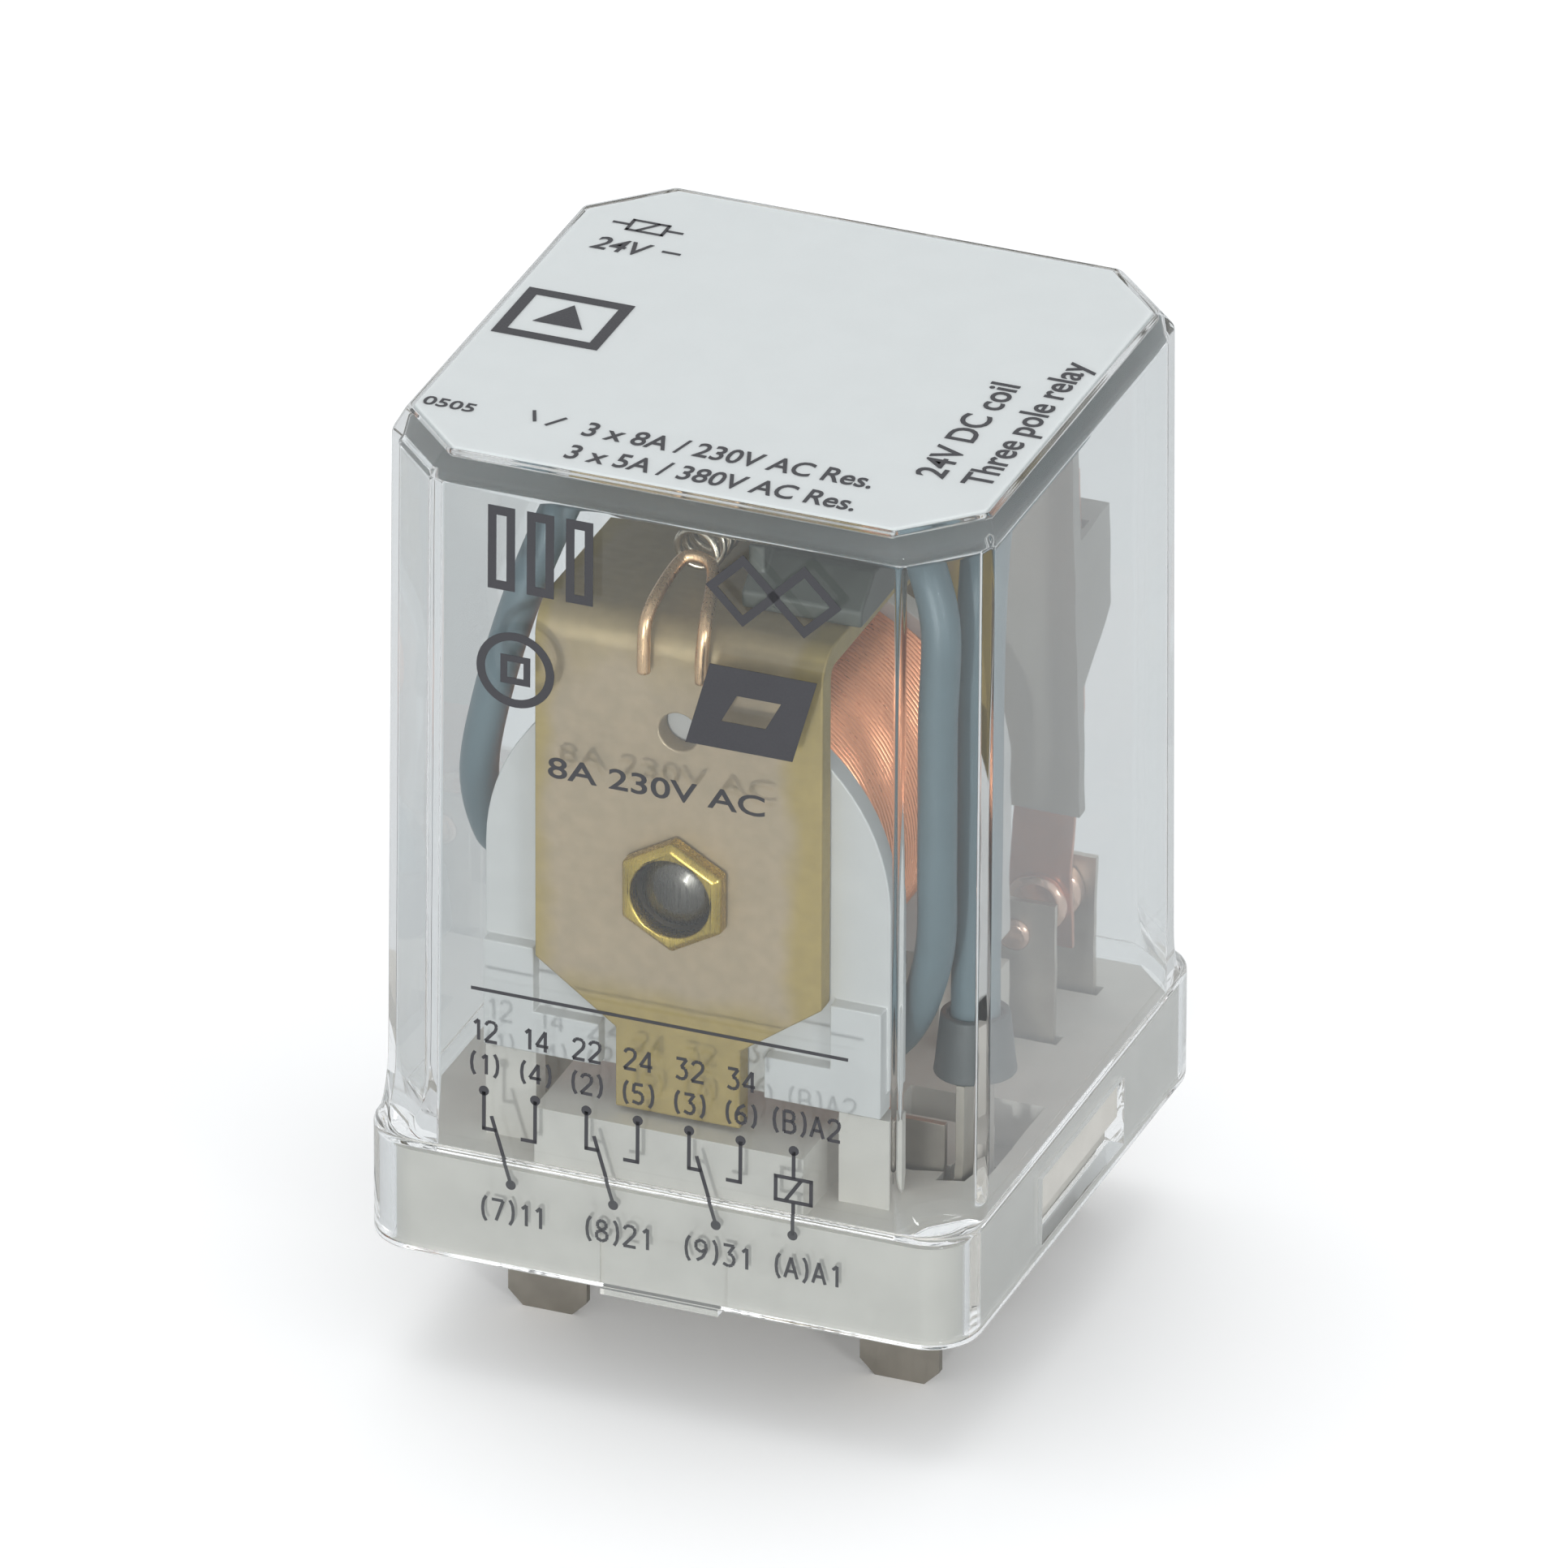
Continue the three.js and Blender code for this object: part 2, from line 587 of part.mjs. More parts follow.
function makeBase() {
  const hx = skirtInnerX - FACE_GAP;
  const hy = skirtInnerY - FACE_GAP;
  const footX = hx - BASE_FOOT_INSET;
  const footY = hy - BASE_FOOT_INSET;
  const islandBack = COIL_ROW_Y - BLADE_THICKNESS - 2 * CUT_GAP;
  const islandHalf = ISLAND_WIDTH / 2;
  const body = join(
    prism(roundedRectangle(hx, hy, BASE_CORNER), SEAT_Z + SEAT_DROP / 2, DECK_HEIGHT, 6),
    prism(roundedRectangle(footX, footY, BASE_CORNER), SEAT_Z, DECK_HEIGHT / 2, 6),
    block(-islandHalf, islandHalf, -hy + DRAFT_Y, islandBack, DECK_HEIGHT - 1, YOKE_TAB_BOTTOM - CUT_GAP),
    ...bobbinSupports(),
    ...poleBarriers(hy - 2 * CUT_GAP),
    ...snapLugs(hx - 1),
  );
  const notchHalf = TONGUE_WIDTH / 2 + CUT_GAP;
  const tongueNotch = block(-notchHalf, notchHalf, -halfDepth, -hy + 0.2, -1, SKIRT_HEIGHT / 2);
  const slots = [
    ...poles.flatMap((x) => [slotFor(x, COM_ROW_Y), slotFor(x, NO_ROW_Y), slotFor(x, NC_ROW_Y)]),
    ...[-1, 1].map((side) => slotFor(side * COIL_ROW_SPREAD / 2, COIL_ROW_Y)),
    ...[-1, 1].flatMap(commonChannels),
  ];
  return piece('base', cut(body, tongueNotch, ...slots), greyPlastic);
}

// ---------------------------------------------------------------- magnet system

function makeYoke() {
  const side = new THREE.Shape();
  const r = YOKE_BEND;
  const inner = Math.max(YOKE_BEND - YOKE_THICKNESS, 0.2);
  side.moveTo(YOKE_FRONT_Y, YOKE_TAB_BOTTOM);
  side.lineTo(yokeInnerY, YOKE_TAB_BOTTOM);
  side.lineTo(yokeInnerY, yokeUnderside - inner);
  side.absarc(yokeInnerY + inner, yokeUnderside - inner, inner, Math.PI, Math.PI / 2, true);
  side.lineTo(yokeRear, yokeUnderside);
  side.lineTo(yokeRear, yokeTop);
  side.lineTo(YOKE_FRONT_Y + r, yokeTop);
  side.absarc(YOKE_FRONT_Y + r, yokeTop - r, r, Math.PI / 2, Math.PI, false);
  const bent = sidePlate(side, -YOKE_WIDTH / 2, YOKE_WIDTH / 2, 6);
  const wide = YOKE_WIDTH / 2 + 1;
  const tab = YOKE_TAB_WIDTH / 2;
  const cheek = (sign) => outline([
    [sign * tab, YOKE_TAB_BOTTOM - 1], [sign * wide, YOKE_TAB_BOTTOM - 1],
    [sign * wide, YOKE_TAPER_HIGH], [sign * YOKE_WIDTH / 2, YOKE_TAPER_HIGH],
    [sign * tab, YOKE_TAPER_LOW],
  ]);
  const yFront = YOKE_FRONT_Y - 1;
  const yBack = yokeInnerY + 1;
  const coreHole = rod(SPIGOT_RADIUS + CUT_GAP, yFront, yBack, 24).translate(0, 0, CORE_Z);
  const smallHole = rod(YOKE_HOLE_RADIUS, yFront, yBack, 24).translate(0, 0, YOKE_HOLE_Z);
  const cheeks = [-1, 1].map((sign) => frontPlate(cheek(sign), yFront, yBack));
  return piece('yoke', cut(bent, ...cheeks, coreHole, smallHole), passivatedSteel);
}

function makeCore() {
  const dome = YOKE_FRONT_Y - DOME_HEIGHT;
  const poleBack = poleFace - POLE_THICKNESS;
  const shoulder = bobbinFront + FACE_GAP;
  const shape = turned([
    [0, dome], [1.0, dome + 0.12], [1.8, dome + 0.4], [SPIGOT_RADIUS, dome + DOME_HEIGHT],
    [SPIGOT_RADIUS, shoulder], [CORE_RADIUS, shoulder],
    [CORE_RADIUS, poleBack], [POLE_RADIUS, poleBack], [POLE_RADIUS, poleFace], [0, poleFace],
  ], 24);
  return piece('core', shape.translate(0, 0, CORE_Z), bareIron);
}

function makeCoreNut() {
  const ringFront = YOKE_FRONT_Y - FACE_GAP - NUT_THICKNESS;
  const ringBack = YOKE_FRONT_Y - FACE_GAP;
  const nut = turned([
    [0, ringFront], [NUT_RADIUS - 0.4, ringFront], [NUT_RADIUS, ringFront + 0.3],
    [NUT_RADIUS, ringBack], [0, ringBack],
  ], 6);
  const bore = rod(SPIGOT_RADIUS + FACE_GAP, ringFront - 1, ringBack + 1, 32);
  return piece('core_nut', cut(nut, bore).translate(0, 0, CORE_Z), brass);
}

function flangeShape(radius) {
  const shape = new THREE.Shape();
  shape.moveTo(-radius + FLANGE_CORNER, flangeBottom);
  shape.lineTo(radius - FLANGE_CORNER, flangeBottom);
  shape.lineTo(radius, flangeBottom + FLANGE_CORNER);
  shape.absarc(0, CORE_Z, radius, 0, Math.PI);
  shape.lineTo(-radius, flangeBottom + FLANGE_CORNER);
  return shape;
}

function makeBobbin() {
  const padTop = YOKE_TAPER_HIGH + 0.2;
  const pads = [-1, 1].map((side) => sideBlock(
    side, YOKE_TAB_WIDTH / 2 + TAB_GAP, FLANGE_RADIUS - 0.2,
    bobbinFront - PAD_THICKNESS, bobbinFront + FLANGE_THICKNESS / 2, flangeBottom + 0.2, padTop,
  ));
  const yokeRoom = block(
    -YOKE_WIDTH / 2 - CUT_GAP, YOKE_WIDTH / 2 + CUT_GAP, YOKE_FRONT_Y - 1, bobbinFront,
    YOKE_TAPER_LOW - CUT_GAP, padTop + 1,
  );
  const tube = rod(CORE_RADIUS + CUT_GAP + BOBBIN_WALL, bobbinFront, bobbinRear, 32);
  const bore = rod(CORE_RADIUS + CUT_GAP, bobbinFront - 2, bobbinRear + 2, 32);
  const body = join(
    frontPlate(flangeShape(FLANGE_RADIUS), bobbinFront, bobbinFront + FLANGE_THICKNESS, 20),
    frontPlate(flangeShape(rearFlangeRadius), bobbinRear - FLANGE_THICKNESS, bobbinRear, 20),
    tube.translate(0, 0, CORE_Z),
    ...pads,
  );
  return piece('bobbin', cut(body, yokeRoom, bore.translate(0, 0, CORE_Z)), bobbinPlastic);
}

function makeWinding() {
  const inner = CORE_RADIUS + CUT_GAP + BOBBIN_WALL + FACE_GAP;
  const y0 = bobbinFront + FLANGE_THICKNESS + FACE_GAP;
  const y1 = bobbinRear - FLANGE_THICKNESS - FACE_GAP;
  const ring = turned([
    [inner, y0], [windingRadius, y0], [windingRadius, y1], [inner, y1], [inner, y0],
  ], 48);
  return piece('coil_winding', ring.translate(0, 0, CORE_Z), copper);
}

function makeCoilWires() {
  const exitY = bobbinFront + FLANGE_THICKNESS + 0.5;
  const terminalX = COIL_ROW_SPREAD / 2;
  return [['a', 1], ['b', -1]].map(([letter, side]) => {
    const route = [
      [side * 6.2, exitY, CORE_Z - windingRadius + 0.9],
      [side * 7.6, exitY + 0.5, flangeBottom + 1.2],
      [side * 9.2, exitY + 1.6, flangeBottom - 0.6],
      [side * (terminalX - 0.6), COIL_ROW_Y - 0.3, coilBladeTop + 1.3],
      [side * (terminalX - 0.4), COIL_ROW_Y, coilBladeTop + CUT_GAP],
    ];
    return piece(`coil_wire_${letter}`, wire(route, COIL_WIRE_DIAMETER, 14, 3), copper);
  });
}

// ---------------------------------------------------------------- moving system

// Everything here is drawn pulled in, with the armature flat on the pole, about the hinge line.
// The group is then turned to the released position.

// Through-holes for the two rivets that hold the carrier on the armature.
function rivetHoles(yFront, yBack) {
  return [-1, 1].map((side) => rod(RIVET_RADIUS + FACE_GAP, yFront - 1, yBack + 1, 16)
    .translate(side * POLE_PITCH / 2, 0, ARMATURE_BOTTOM + RIVET_LIFT));
}

function makeArmature() {
  const half = YOKE_WIDTH / 2;
  const tail = TAIL_WIDTH / 2;
  const shoulder = hingeZ + 0.4;
  const tailTop = hingeZ + TAIL_HEIGHT;
  const shape = outline([
    [-half, ARMATURE_BOTTOM], [half, ARMATURE_BOTTOM], [half, shoulder], [tail, shoulder],
    [tail, tailTop], [-tail, tailTop], [-tail, shoulder], [-half, shoulder],
  ]);
  const plate = frontPlate(shape, armatureFront, armatureBack);
  const hookHole = rod(HOOK_HOLE_RADIUS, armatureFront - 1, armatureBack + 1, 16);
  hookHole.translate(SPRING_X, 0, tailTop - HOOK_HOLE_DROP);
  const bores = [...rivetHoles(armatureFront, armatureBack), hookHole];
  return piece('armature', cut(plate, ...bores), passivatedSteel);
}

function makeCarrier() {
  const plateBack = carrierFront + CARRIER_PLATE;
  const blockBack = carrierFront + CARRIER_DEPTH;
  const blockTop = hingeZ - CARRIER_BLOCK_TOP;
  const blockBottom = blockTop - CARRIER_BLOCK_HEIGHT;
  const plateTop = hingeZ + CARRIER_RISE;
  const plateBottom = ARMATURE_BOTTOM + 1;
  const side = outline([
    [carrierFront, plateBottom], [plateBack, plateBottom], [plateBack, blockBottom - CARRIER_WEB],
    [blockBack, blockBottom], [blockBack, blockTop], [plateBack, blockTop],
    [plateBack, plateTop], [carrierFront, plateTop],
  ]);
  const slots = poles.map((x) => {
    const half = SPRING_BLADE_WIDTH / 2 + CUT_GAP;
    const thick = SPRING_BLADE_THICKNESS / 2 + CUT_GAP;
    const y = carrierSlotY();
    return block(x - half, x + half, y - thick, y + thick, blockBottom - 2 * CARRIER_WEB, blockTop + 1);
  });
  const body = sidePlate(side, -carrierHalf, carrierHalf);
  const shell = cut(body, ...slots, ...rivetHoles(carrierFront, plateBack));
  return piece('contact_carrier', shell, carrierPlastic);
}

// The moving blades stand in slots half way through the carrier's block.
function carrierSlotY() {
  return carrierFront + CARRIER_DEPTH / 2;
}

function makeCarrierRivets() {
  const headY = carrierFront + CARRIER_PLATE + FACE_GAP / 2;
  return [['left', -1], ['right', 1]].map(([word, side]) => {
    const shape = turned([
      [0, armatureFront + FACE_GAP], [RIVET_RADIUS, armatureFront + FACE_GAP], [RIVET_RADIUS, headY],
      [1.9 * RIVET_RADIUS, headY], [1.7 * RIVET_RADIUS, headY + 0.35], [RIVET_RADIUS, headY + 0.65],
      [0, headY + 0.7],
    ], 16);
    shape.translate(side * POLE_PITCH / 2, 0, ARMATURE_BOTTOM + RIVET_LIFT);
    return piece(`carrier_rivet_${word}`, shape, brass);
  });
}

function makeMovingBlades() {
  const half = SPRING_BLADE_THICKNESS / 2;
  const top = hingeZ - 1;
  const high = hingeZ - 16.5;
  const low = CONTACT_Z + CONTACT_RADIUS + CUT_GAP;
  const end = CONTACT_Z - CONTACT_RADIUS - 1;
  const side = outline([
    [movingY - half, end], [movingY + half, end], [movingY + half, low], [carrierSlotY() + half, high],
    [carrierSlotY() + half, top], [carrierSlotY() - half, top], [carrierSlotY() - half, high],
    [movingY - half, low],
  ]);
  return poles.map((x, i) => {
    const strip = sidePlate(side, x - SPRING_BLADE_WIDTH / 2, x + SPRING_BLADE_WIDTH / 2);
    const hole = rod(SHANK_RADIUS + REST_GAP, movingY - 1, movingY + 1, 16).translate(x, 0, CONTACT_Z);
    return piece(`moving_blade_${i + 1}`, cut(strip, hole), bronze);
  });
}

function makeMovingContacts() {
  const neck = SPRING_BLADE_THICKNESS / 2 + FACE_GAP / 2;
  const face = movingHalf;
  return poles.map((x, i) => {
    const shape = turned([
      [0, -face], [CONTACT_RADIUS - 0.4, -face], [CONTACT_RADIUS, -face + 0.25], [CONTACT_RADIUS, -neck],
      [SHANK_RADIUS, -neck], [SHANK_RADIUS, neck], [CONTACT_RADIUS, neck],
      [CONTACT_RADIUS, face - 0.25], [CONTACT_RADIUS - 0.4, face], [0, face],
    ], 14);
    return piece(`moving_contact_${i + 1}`, shape.translate(x, movingY, CONTACT_Z), silver);
  });
}

// ---------------------------------------------------------------- leads, sleeves and springs

// Where a moving blade's top end lies in the released position.
function releasedBladeTop() {
  const dy = carrierSlotY() - hingeY;
  const dz = -1;
  return {
    y: hingeY + dy * Math.cos(stroke) - dz * Math.sin(stroke),
    z: hingeZ + dy * Math.sin(stroke) + dz * Math.cos(stroke),
  };
}

function leadRoutes() {
  const start = releasedBladeTop();
  const startZ = start.z + CUT_GAP;
  const high = hingeZ + 4.6;
  const endZ = riserTop + CUT_GAP;
  const left = risers[-1];
  return [
    [
      [-POLE_PITCH, start.y, startZ], [-POLE_PITCH, start.y, startZ + 1.5],
      [-POLE_PITCH, start.y - 2.2, high - 0.6],
      [-9.8, 4, high], [-9, -6, high], [-8.7, -10.6, high - 0.6], [-10.3, -11.9, high - 5.4],
      [-12.4, -11.8, 32.4], [-leadLane - 0.1, -11, 27], [-leadLane - 0.3, -8.4, 22],
      [-left.x, left.y - 0.8, endZ + 6.4], [-left.x, left.y, endZ + 4.4], [-left.x, left.y, endZ],
    ],
    [
      [0, start.y, startZ], [0, start.y, startZ + 1.5], [0.6, start.y - 2.2, high + 0.4],
      [3.6, 4, high + 1], [9, -6, high + 1], [12.2, -10.6, high], [leadLane + 0.2, -11.8, high - 3],
      [leadLane + 0.2, -12, 36], [leadLane + 0.2, -12, 27], [leadLane + 0.1, -11.8, 22.5],
      [leadLane - 0.5, -11.2, 19.8], [11.4, -9.7, 16.2], [9.4, -8, 13.2], [6.6, -6.4, 11.2],
      [3.2, -5.6, 10], [0.7, -5, middleLeadZ],
      [0, -3.6, middleLeadZ], [0, middleLeadEnd, middleLeadZ],
    ],
    [
      [POLE_PITCH, start.y, startZ], [POLE_PITCH, start.y, startZ + 1.5], [10.6, start.y - 2.2, high - 0.6],
      [11.8, 4, high], [13.4, -4.6, high], [outerLeadX - 0.1, -7.6, high - 2.4], [outerLeadX, -8.3, 38],
      [outerLeadX, -8.4, 28], [outerLeadX, COIL_ROW_Y, 20], [outerLeadX, COIL_ROW_Y, endZ + 2.5],
      [outerLeadX, COIL_ROW_Y, endZ],
    ],
  ];
}

function makeLeads() {
  return leadRoutes().map((route, i) => piece(
    `flexible_lead_${i + 1}`, wire(route, LEAD_DIAMETER, 34, 4), leadInsulation,
  ));
}

function makeSleeves() {
  const inner = leadRadius + FACE_GAP;
  const outer = inner + SLEEVE_WALL;
  const ring = (flare) => turned([
    [inner, 0], [outer + flare, 0], [outer, SLEEVE_LENGTH], [inner, SLEEVE_LENGTH], [inner, 0],
  ], 20);
  const endZ = riserTop + CUT_GAP;
  const upright = (side) => {
    const { x, y } = risers[side];
    return ring(SLEEVE_FLARE).rotateX(Math.PI / 2).translate(side * x, y, endZ);
  };
  const level = ring(0).scale(1, 0.5, 1).translate(0, middleLeadEnd - SLEEVE_LENGTH / 2, middleLeadZ);
  return [
    piece('lead_sleeve_1', upright(-1), darkSleeve),
    piece('lead_sleeve_2', level, darkSleeve),
    piece('lead_sleeve_3', upright(1), darkSleeve),
  ];
}

class Helix extends THREE.Curve {
  getPoint(t, target = new THREE.Vector3()) {
    const angle = t * SPRING_TURNS * 2 * Math.PI;
    const y = SPRING_FRONT + (SPRING_REAR - SPRING_FRONT) * t;
    return target.set(
      SPRING_X + SPRING_RADIUS * Math.sin(angle), y, yokeTop + SPRING_LIFT - SPRING_RADIUS * Math.cos(angle),
    );
  }
}

function makeReturnSpring() {
  const section = new THREE.Shape();
  section.absarc(0, 0, SPRING_WIRE / 2, 0, 2 * Math.PI);
  const coil = new THREE.ExtrudeGeometry(section, {
    steps: SPRING_TURNS * 8, extrudePath: new Helix(), bevelEnabled: false, curveSegments: 3,
  });
  return piece('return_spring', coil, springSteel);
}

// Wire hanger that hooks the front of the spring over the bend of the yoke.
function makeSpringHanger() {
  const front = YOKE_FRONT_Y - CUT_GAP - HANGER_WIRE / 2;
  const axis = yokeTop + SPRING_LIFT;
  const back = SPRING_FRONT - 0.7;
  const leg = (x, lean) => [
    [x, front, yokeTop - 2.6], [x, front, yokeTop - 1.2], [x, front + 0.5, yokeTop + 0.6],
    [x + lean, back, axis - 0.2],
  ];
  const left = leg(-1.8, 0.5);
  const right = leg(1.6, -1.2).reverse();
  const route = [...left, [SPRING_X, back + 0.25, axis], ...right];
  return piece('spring_hanger', wire(route, HANGER_WIRE, 24, 3), springSteel);
}

// Moulded guide on the yoke that keeps the right-hand leads clear of the spring.
function makeLeadGuide() {
  const z0 = yokeTop + FACE_GAP;
  const top = z0 + GUIDE_HEIGHT;
  const side = outline([
    [GUIDE_FRONT, z0], [GUIDE_REAR, z0], [GUIDE_REAR, top], [GUIDE_FRONT + 2, top], [GUIDE_FRONT, z0 + 1],
  ]);
  const wall = block(
    GUIDE_LEFT, GUIDE_LEFT + GUIDE_WALL, GUIDE_FRONT + 1, GUIDE_REAR, z0, top + GUIDE_WALL - 0.2,
  );
  const ledge = sidePlate(side, GUIDE_LEFT, YOKE_WIDTH / 2 + GUIDE_WALL - 0.2);
  return piece('lead_guide', join(ledge, wall), darkPlastic);
}

// ---------------------------------------------------------------- assembly

const fixedParts = new THREE.Group();
fixedParts.add(
  makeCover(), makeMarkingPlate(), makeBase(), makeYoke(), makeCore(), makeCoreNut(), makeBobbin(),
  makeWinding(), ...makeCoilWires(), ...makeTerminals(), ...makeFixedContacts(), ...makeLeads(),
  ...makeSleeves(), makeReturnSpring(), makeSpringHanger(), makeLeadGuide(),
);

const movingParts = new THREE.Group();
movingParts.add(
  makeArmature(), makeCarrier(), ...makeCarrierRivets(), ...makeMovingBlades(), ...makeMovingContacts(),
);
for (const part of movingParts.children) {
  part.position.set(0, -hingeY, -hingeZ);
}
movingParts.position.set(0, hingeY, hingeZ);
movingParts.rotation.x = stroke;

const relay = new THREE.Group();
relay.name = 'relay';
relay.add(fixedParts, movingParts);
relay.position.z = RAISE;

export default relay;
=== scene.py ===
# %% [markdown]
# # A plug-in power relay, seen through its clear cover
#
# The relay is a small machine in a clear plastic box. An electromagnet pulls a hinged steel
# plate, the plate carries three spring blades, and each blade swings a contact from one fixed
# contact to another. Eleven flat blades under the base plug into a socket.
#
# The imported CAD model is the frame. It settles where everything is and how it moves. This
# script makes each piece finer around that frame, and gives it its material.

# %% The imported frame
import math

import bmesh
import bpy
import numpy as np
from mathutils import Matrix, Vector


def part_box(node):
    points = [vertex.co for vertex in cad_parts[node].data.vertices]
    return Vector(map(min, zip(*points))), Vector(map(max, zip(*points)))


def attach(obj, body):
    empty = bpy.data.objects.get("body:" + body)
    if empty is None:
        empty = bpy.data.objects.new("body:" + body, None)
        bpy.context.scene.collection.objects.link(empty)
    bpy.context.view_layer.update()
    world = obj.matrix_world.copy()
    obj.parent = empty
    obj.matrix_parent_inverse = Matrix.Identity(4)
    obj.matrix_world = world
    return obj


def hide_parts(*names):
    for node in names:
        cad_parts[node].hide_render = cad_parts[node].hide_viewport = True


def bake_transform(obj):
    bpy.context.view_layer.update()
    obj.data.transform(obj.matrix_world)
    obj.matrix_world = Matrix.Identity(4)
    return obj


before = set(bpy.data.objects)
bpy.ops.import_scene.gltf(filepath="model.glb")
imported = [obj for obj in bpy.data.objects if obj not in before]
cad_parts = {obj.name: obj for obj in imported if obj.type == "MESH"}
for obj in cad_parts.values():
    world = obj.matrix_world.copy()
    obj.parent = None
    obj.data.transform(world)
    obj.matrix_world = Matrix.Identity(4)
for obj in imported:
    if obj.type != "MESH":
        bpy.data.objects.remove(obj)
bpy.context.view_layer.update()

MM = 0.001
FIXED = "relay_body"
MOVING = "armature_set"
TONGUE_DROP = 0.35 * MM  # the cover's tongue reaches this far below its rim

cover_low, cover_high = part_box("cover")
RIM = cover_low.z + TONGUE_DROP


def at(x, y, z):
    """A point given in millimetres, with its height measured from the cover's rim."""
    return Vector((x * MM, y * MM, RIM + z * MM))


print(f"frame: {len(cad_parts)} nodes, rim at {RIM / MM:.2f} mm")

# %% [markdown]
# ## The camera
#
# A product camera stands far back with a long lens, so that upright edges stay almost
# parallel. Here it stands a metre and a half away, to the right of the printed front and
# well above it, which shows the front, the right side and the marking plate together.

# %% Camera
AZIMUTH = math.radians(21.53)
ELEVATION = math.radians(28.25)
ROLL = math.radians(0.21)
DISTANCE = 1.562
LENS = 647
AIM = at(0.04, 0, 23.19)

back = Vector((
    math.sin(AZIMUTH) * math.cos(ELEVATION),
    -math.cos(AZIMUTH) * math.cos(ELEVATION),
    math.sin(ELEVATION),
))
right = Vector((math.cos(AZIMUTH), math.sin(AZIMUTH), 0))
turn = Matrix((right, back.cross(right), back)).transposed().to_4x4()
camera_data = bpy.data.cameras.new("camera")
camera_data.lens = LENS
camera_data.sensor_width = 36
camera_data.clip_end = 10
camera = bpy.data.objects.new("camera", camera_data)
camera.matrix_world = Matrix.Translation(AIM + back * DISTANCE) @ turn @ Matrix.Rotation(ROLL, 4, "Z")
bpy.context.collection.objects.link(camera)
bpy.context.scene.camera = camera
print(f"camera: {DISTANCE} m away, {LENS} mm lens")

# %% [markdown]
# ## A small language for materials
#
# A Blender material is a graph of nodes. Wiring it by hand hides the idea behind it, so one
# small class wraps a socket and lets sums be written as sums: each operator adds a Math node.
# Every other node comes from one method, which takes the node's type, its settings and what
# its sockets are fed.

# %% Sockets and finishes
class Socket:
    """One output of a shader node, which works in sums like a number."""

    def __init__(self, finish, node, output):
        self.finish = finish
        self.node = node
        self.socket = node.outputs[output]

    def math(self, operation, *values):
        return self.finish.node("ShaderNodeMath", {"operation": operation}, dict(enumerate(values)))

    def __add__(self, other):
        return self.math("ADD", self, other)

    def __sub__(self, other):
        return self.math("SUBTRACT", self, other)

    def __rsub__(self, other):
        return self.math("SUBTRACT", other, self)

    def __mul__(self, other):
        return self.math("MULTIPLY", self, other)

    def __gt__(self, other):
        return self.math("GREATER_THAN", self, other)

    __radd__ = __add__
    __rmul__ = __mul__

    def largest(self, other):
        return self.math("MAXIMUM", self, other)

    def size(self):
        return self.math("ABSOLUTE", self)

    def ramp(self, low, high):
        """0 below low, 1 above high, and smooth between them."""
        sockets = {"Value": self, "From Min": low, "From Max": high}
        return self.finish.node("ShaderNodeMapRange", {"interpolation_type": "SMOOTHSTEP"}, sockets)

    def part(self, output):
        """Another output of the same node."""
        return Socket(self.finish, self.node, output)


class Finish:
    """A material, built node by node."""

    def __init__(self, name):
        self.material = bpy.data.materials.new(name)
        self.material.use_nodes = True
        self.tree = self.material.node_tree
        self.tree.nodes.clear()

    def node(self, kind, settings=None, sockets=None, output=0):
        added = self.tree.nodes.new(kind)
        for name, value in (settings or {}).items():
            setattr(added, name, value)
        for name, value in (sockets or {}).items():
            if isinstance(value, Socket):
                self.tree.links.new(value.socket, added.inputs[name])
            else:
                added.inputs[name].default_value = value
        return Socket(self, added, output)

    def mix(self, factor, first, second):
        """A colour between two others."""
        sockets = {0: factor, 6: first, 7: second}
        return self.node("ShaderNodeMix", {"data_type": "RGBA"}, sockets, output=2)

    def place(self, scale=(1, 1, 1)):
        """Object coordinates in millimetres, stretched by a scale."""
        where = self.node("ShaderNodeTexCoord", output="Object")
        sockets = {"Vector": where, "Scale": [part / MM for part in scale]}
        return self.node("ShaderNodeMapping", None, sockets)

    def noise(self, per_mm, detail=2.0, scale=(1, 1, 1)):
        """Cloudy noise from 0 to 1, with this many blots to the millimetre."""
        sockets = {"Vector": self.place(scale), "Scale": per_mm, "Detail": detail}
        return self.node("ShaderNodeTexNoise", None, sockets)

    def bump(self, height, depth, strength=1.0):
        """Unevenness of a depth given in millimetres."""
        sockets = {"Height": height, "Distance": depth * MM, "Strength": strength}
        return self.node("ShaderNodeBump", None, sockets)

    def surface(self, **sockets):
        """Ends the material in one Principled shader."""
        named = {name.replace("_", " "): value for name, value in sockets.items()}
        return self.end(self.node("ShaderNodeBsdfPrincipled", None, named))

    def end(self, shader):
        """Wires a shader to the material's output."""
        output = self.tree.nodes.new("ShaderNodeOutputMaterial")
        self.tree.links.new(shader.socket, output.inputs["Surface"])
        return self.material


def tone(red, green, blue):
    """A colour given as it looks on a screen, 0 to 255, as the linear light that shaders use."""
    share = np.array([red, green, blue]) / 255
    linear = np.where(share <= 0.04045, share / 12.92, ((share + 0.055) / 1.055) ** 2.4)
    return (*linear.tolist(), 1.0)


print("materials: Socket and Finish are ready")

# %% [markdown]
# ## Clear polycarbonate
#
# The cover is a thick, glossy, very slightly grey shell. Rays that a lamp sends, and rays
# that light the pieces inside, pass straight through it with a grey tint at each surface,
# so the inside is lit without being bent. All other rays see real refraction, which draws
# the lines along its edges. A ray that keeps bouncing inside the thin wall would end black,
# so it is let out after a while.

# %% Clear plastic
POLYCARBONATE_IOR = 1.58
TRAPPED_AFTER = 4.5  # bounces after which a ray is let out of the wall


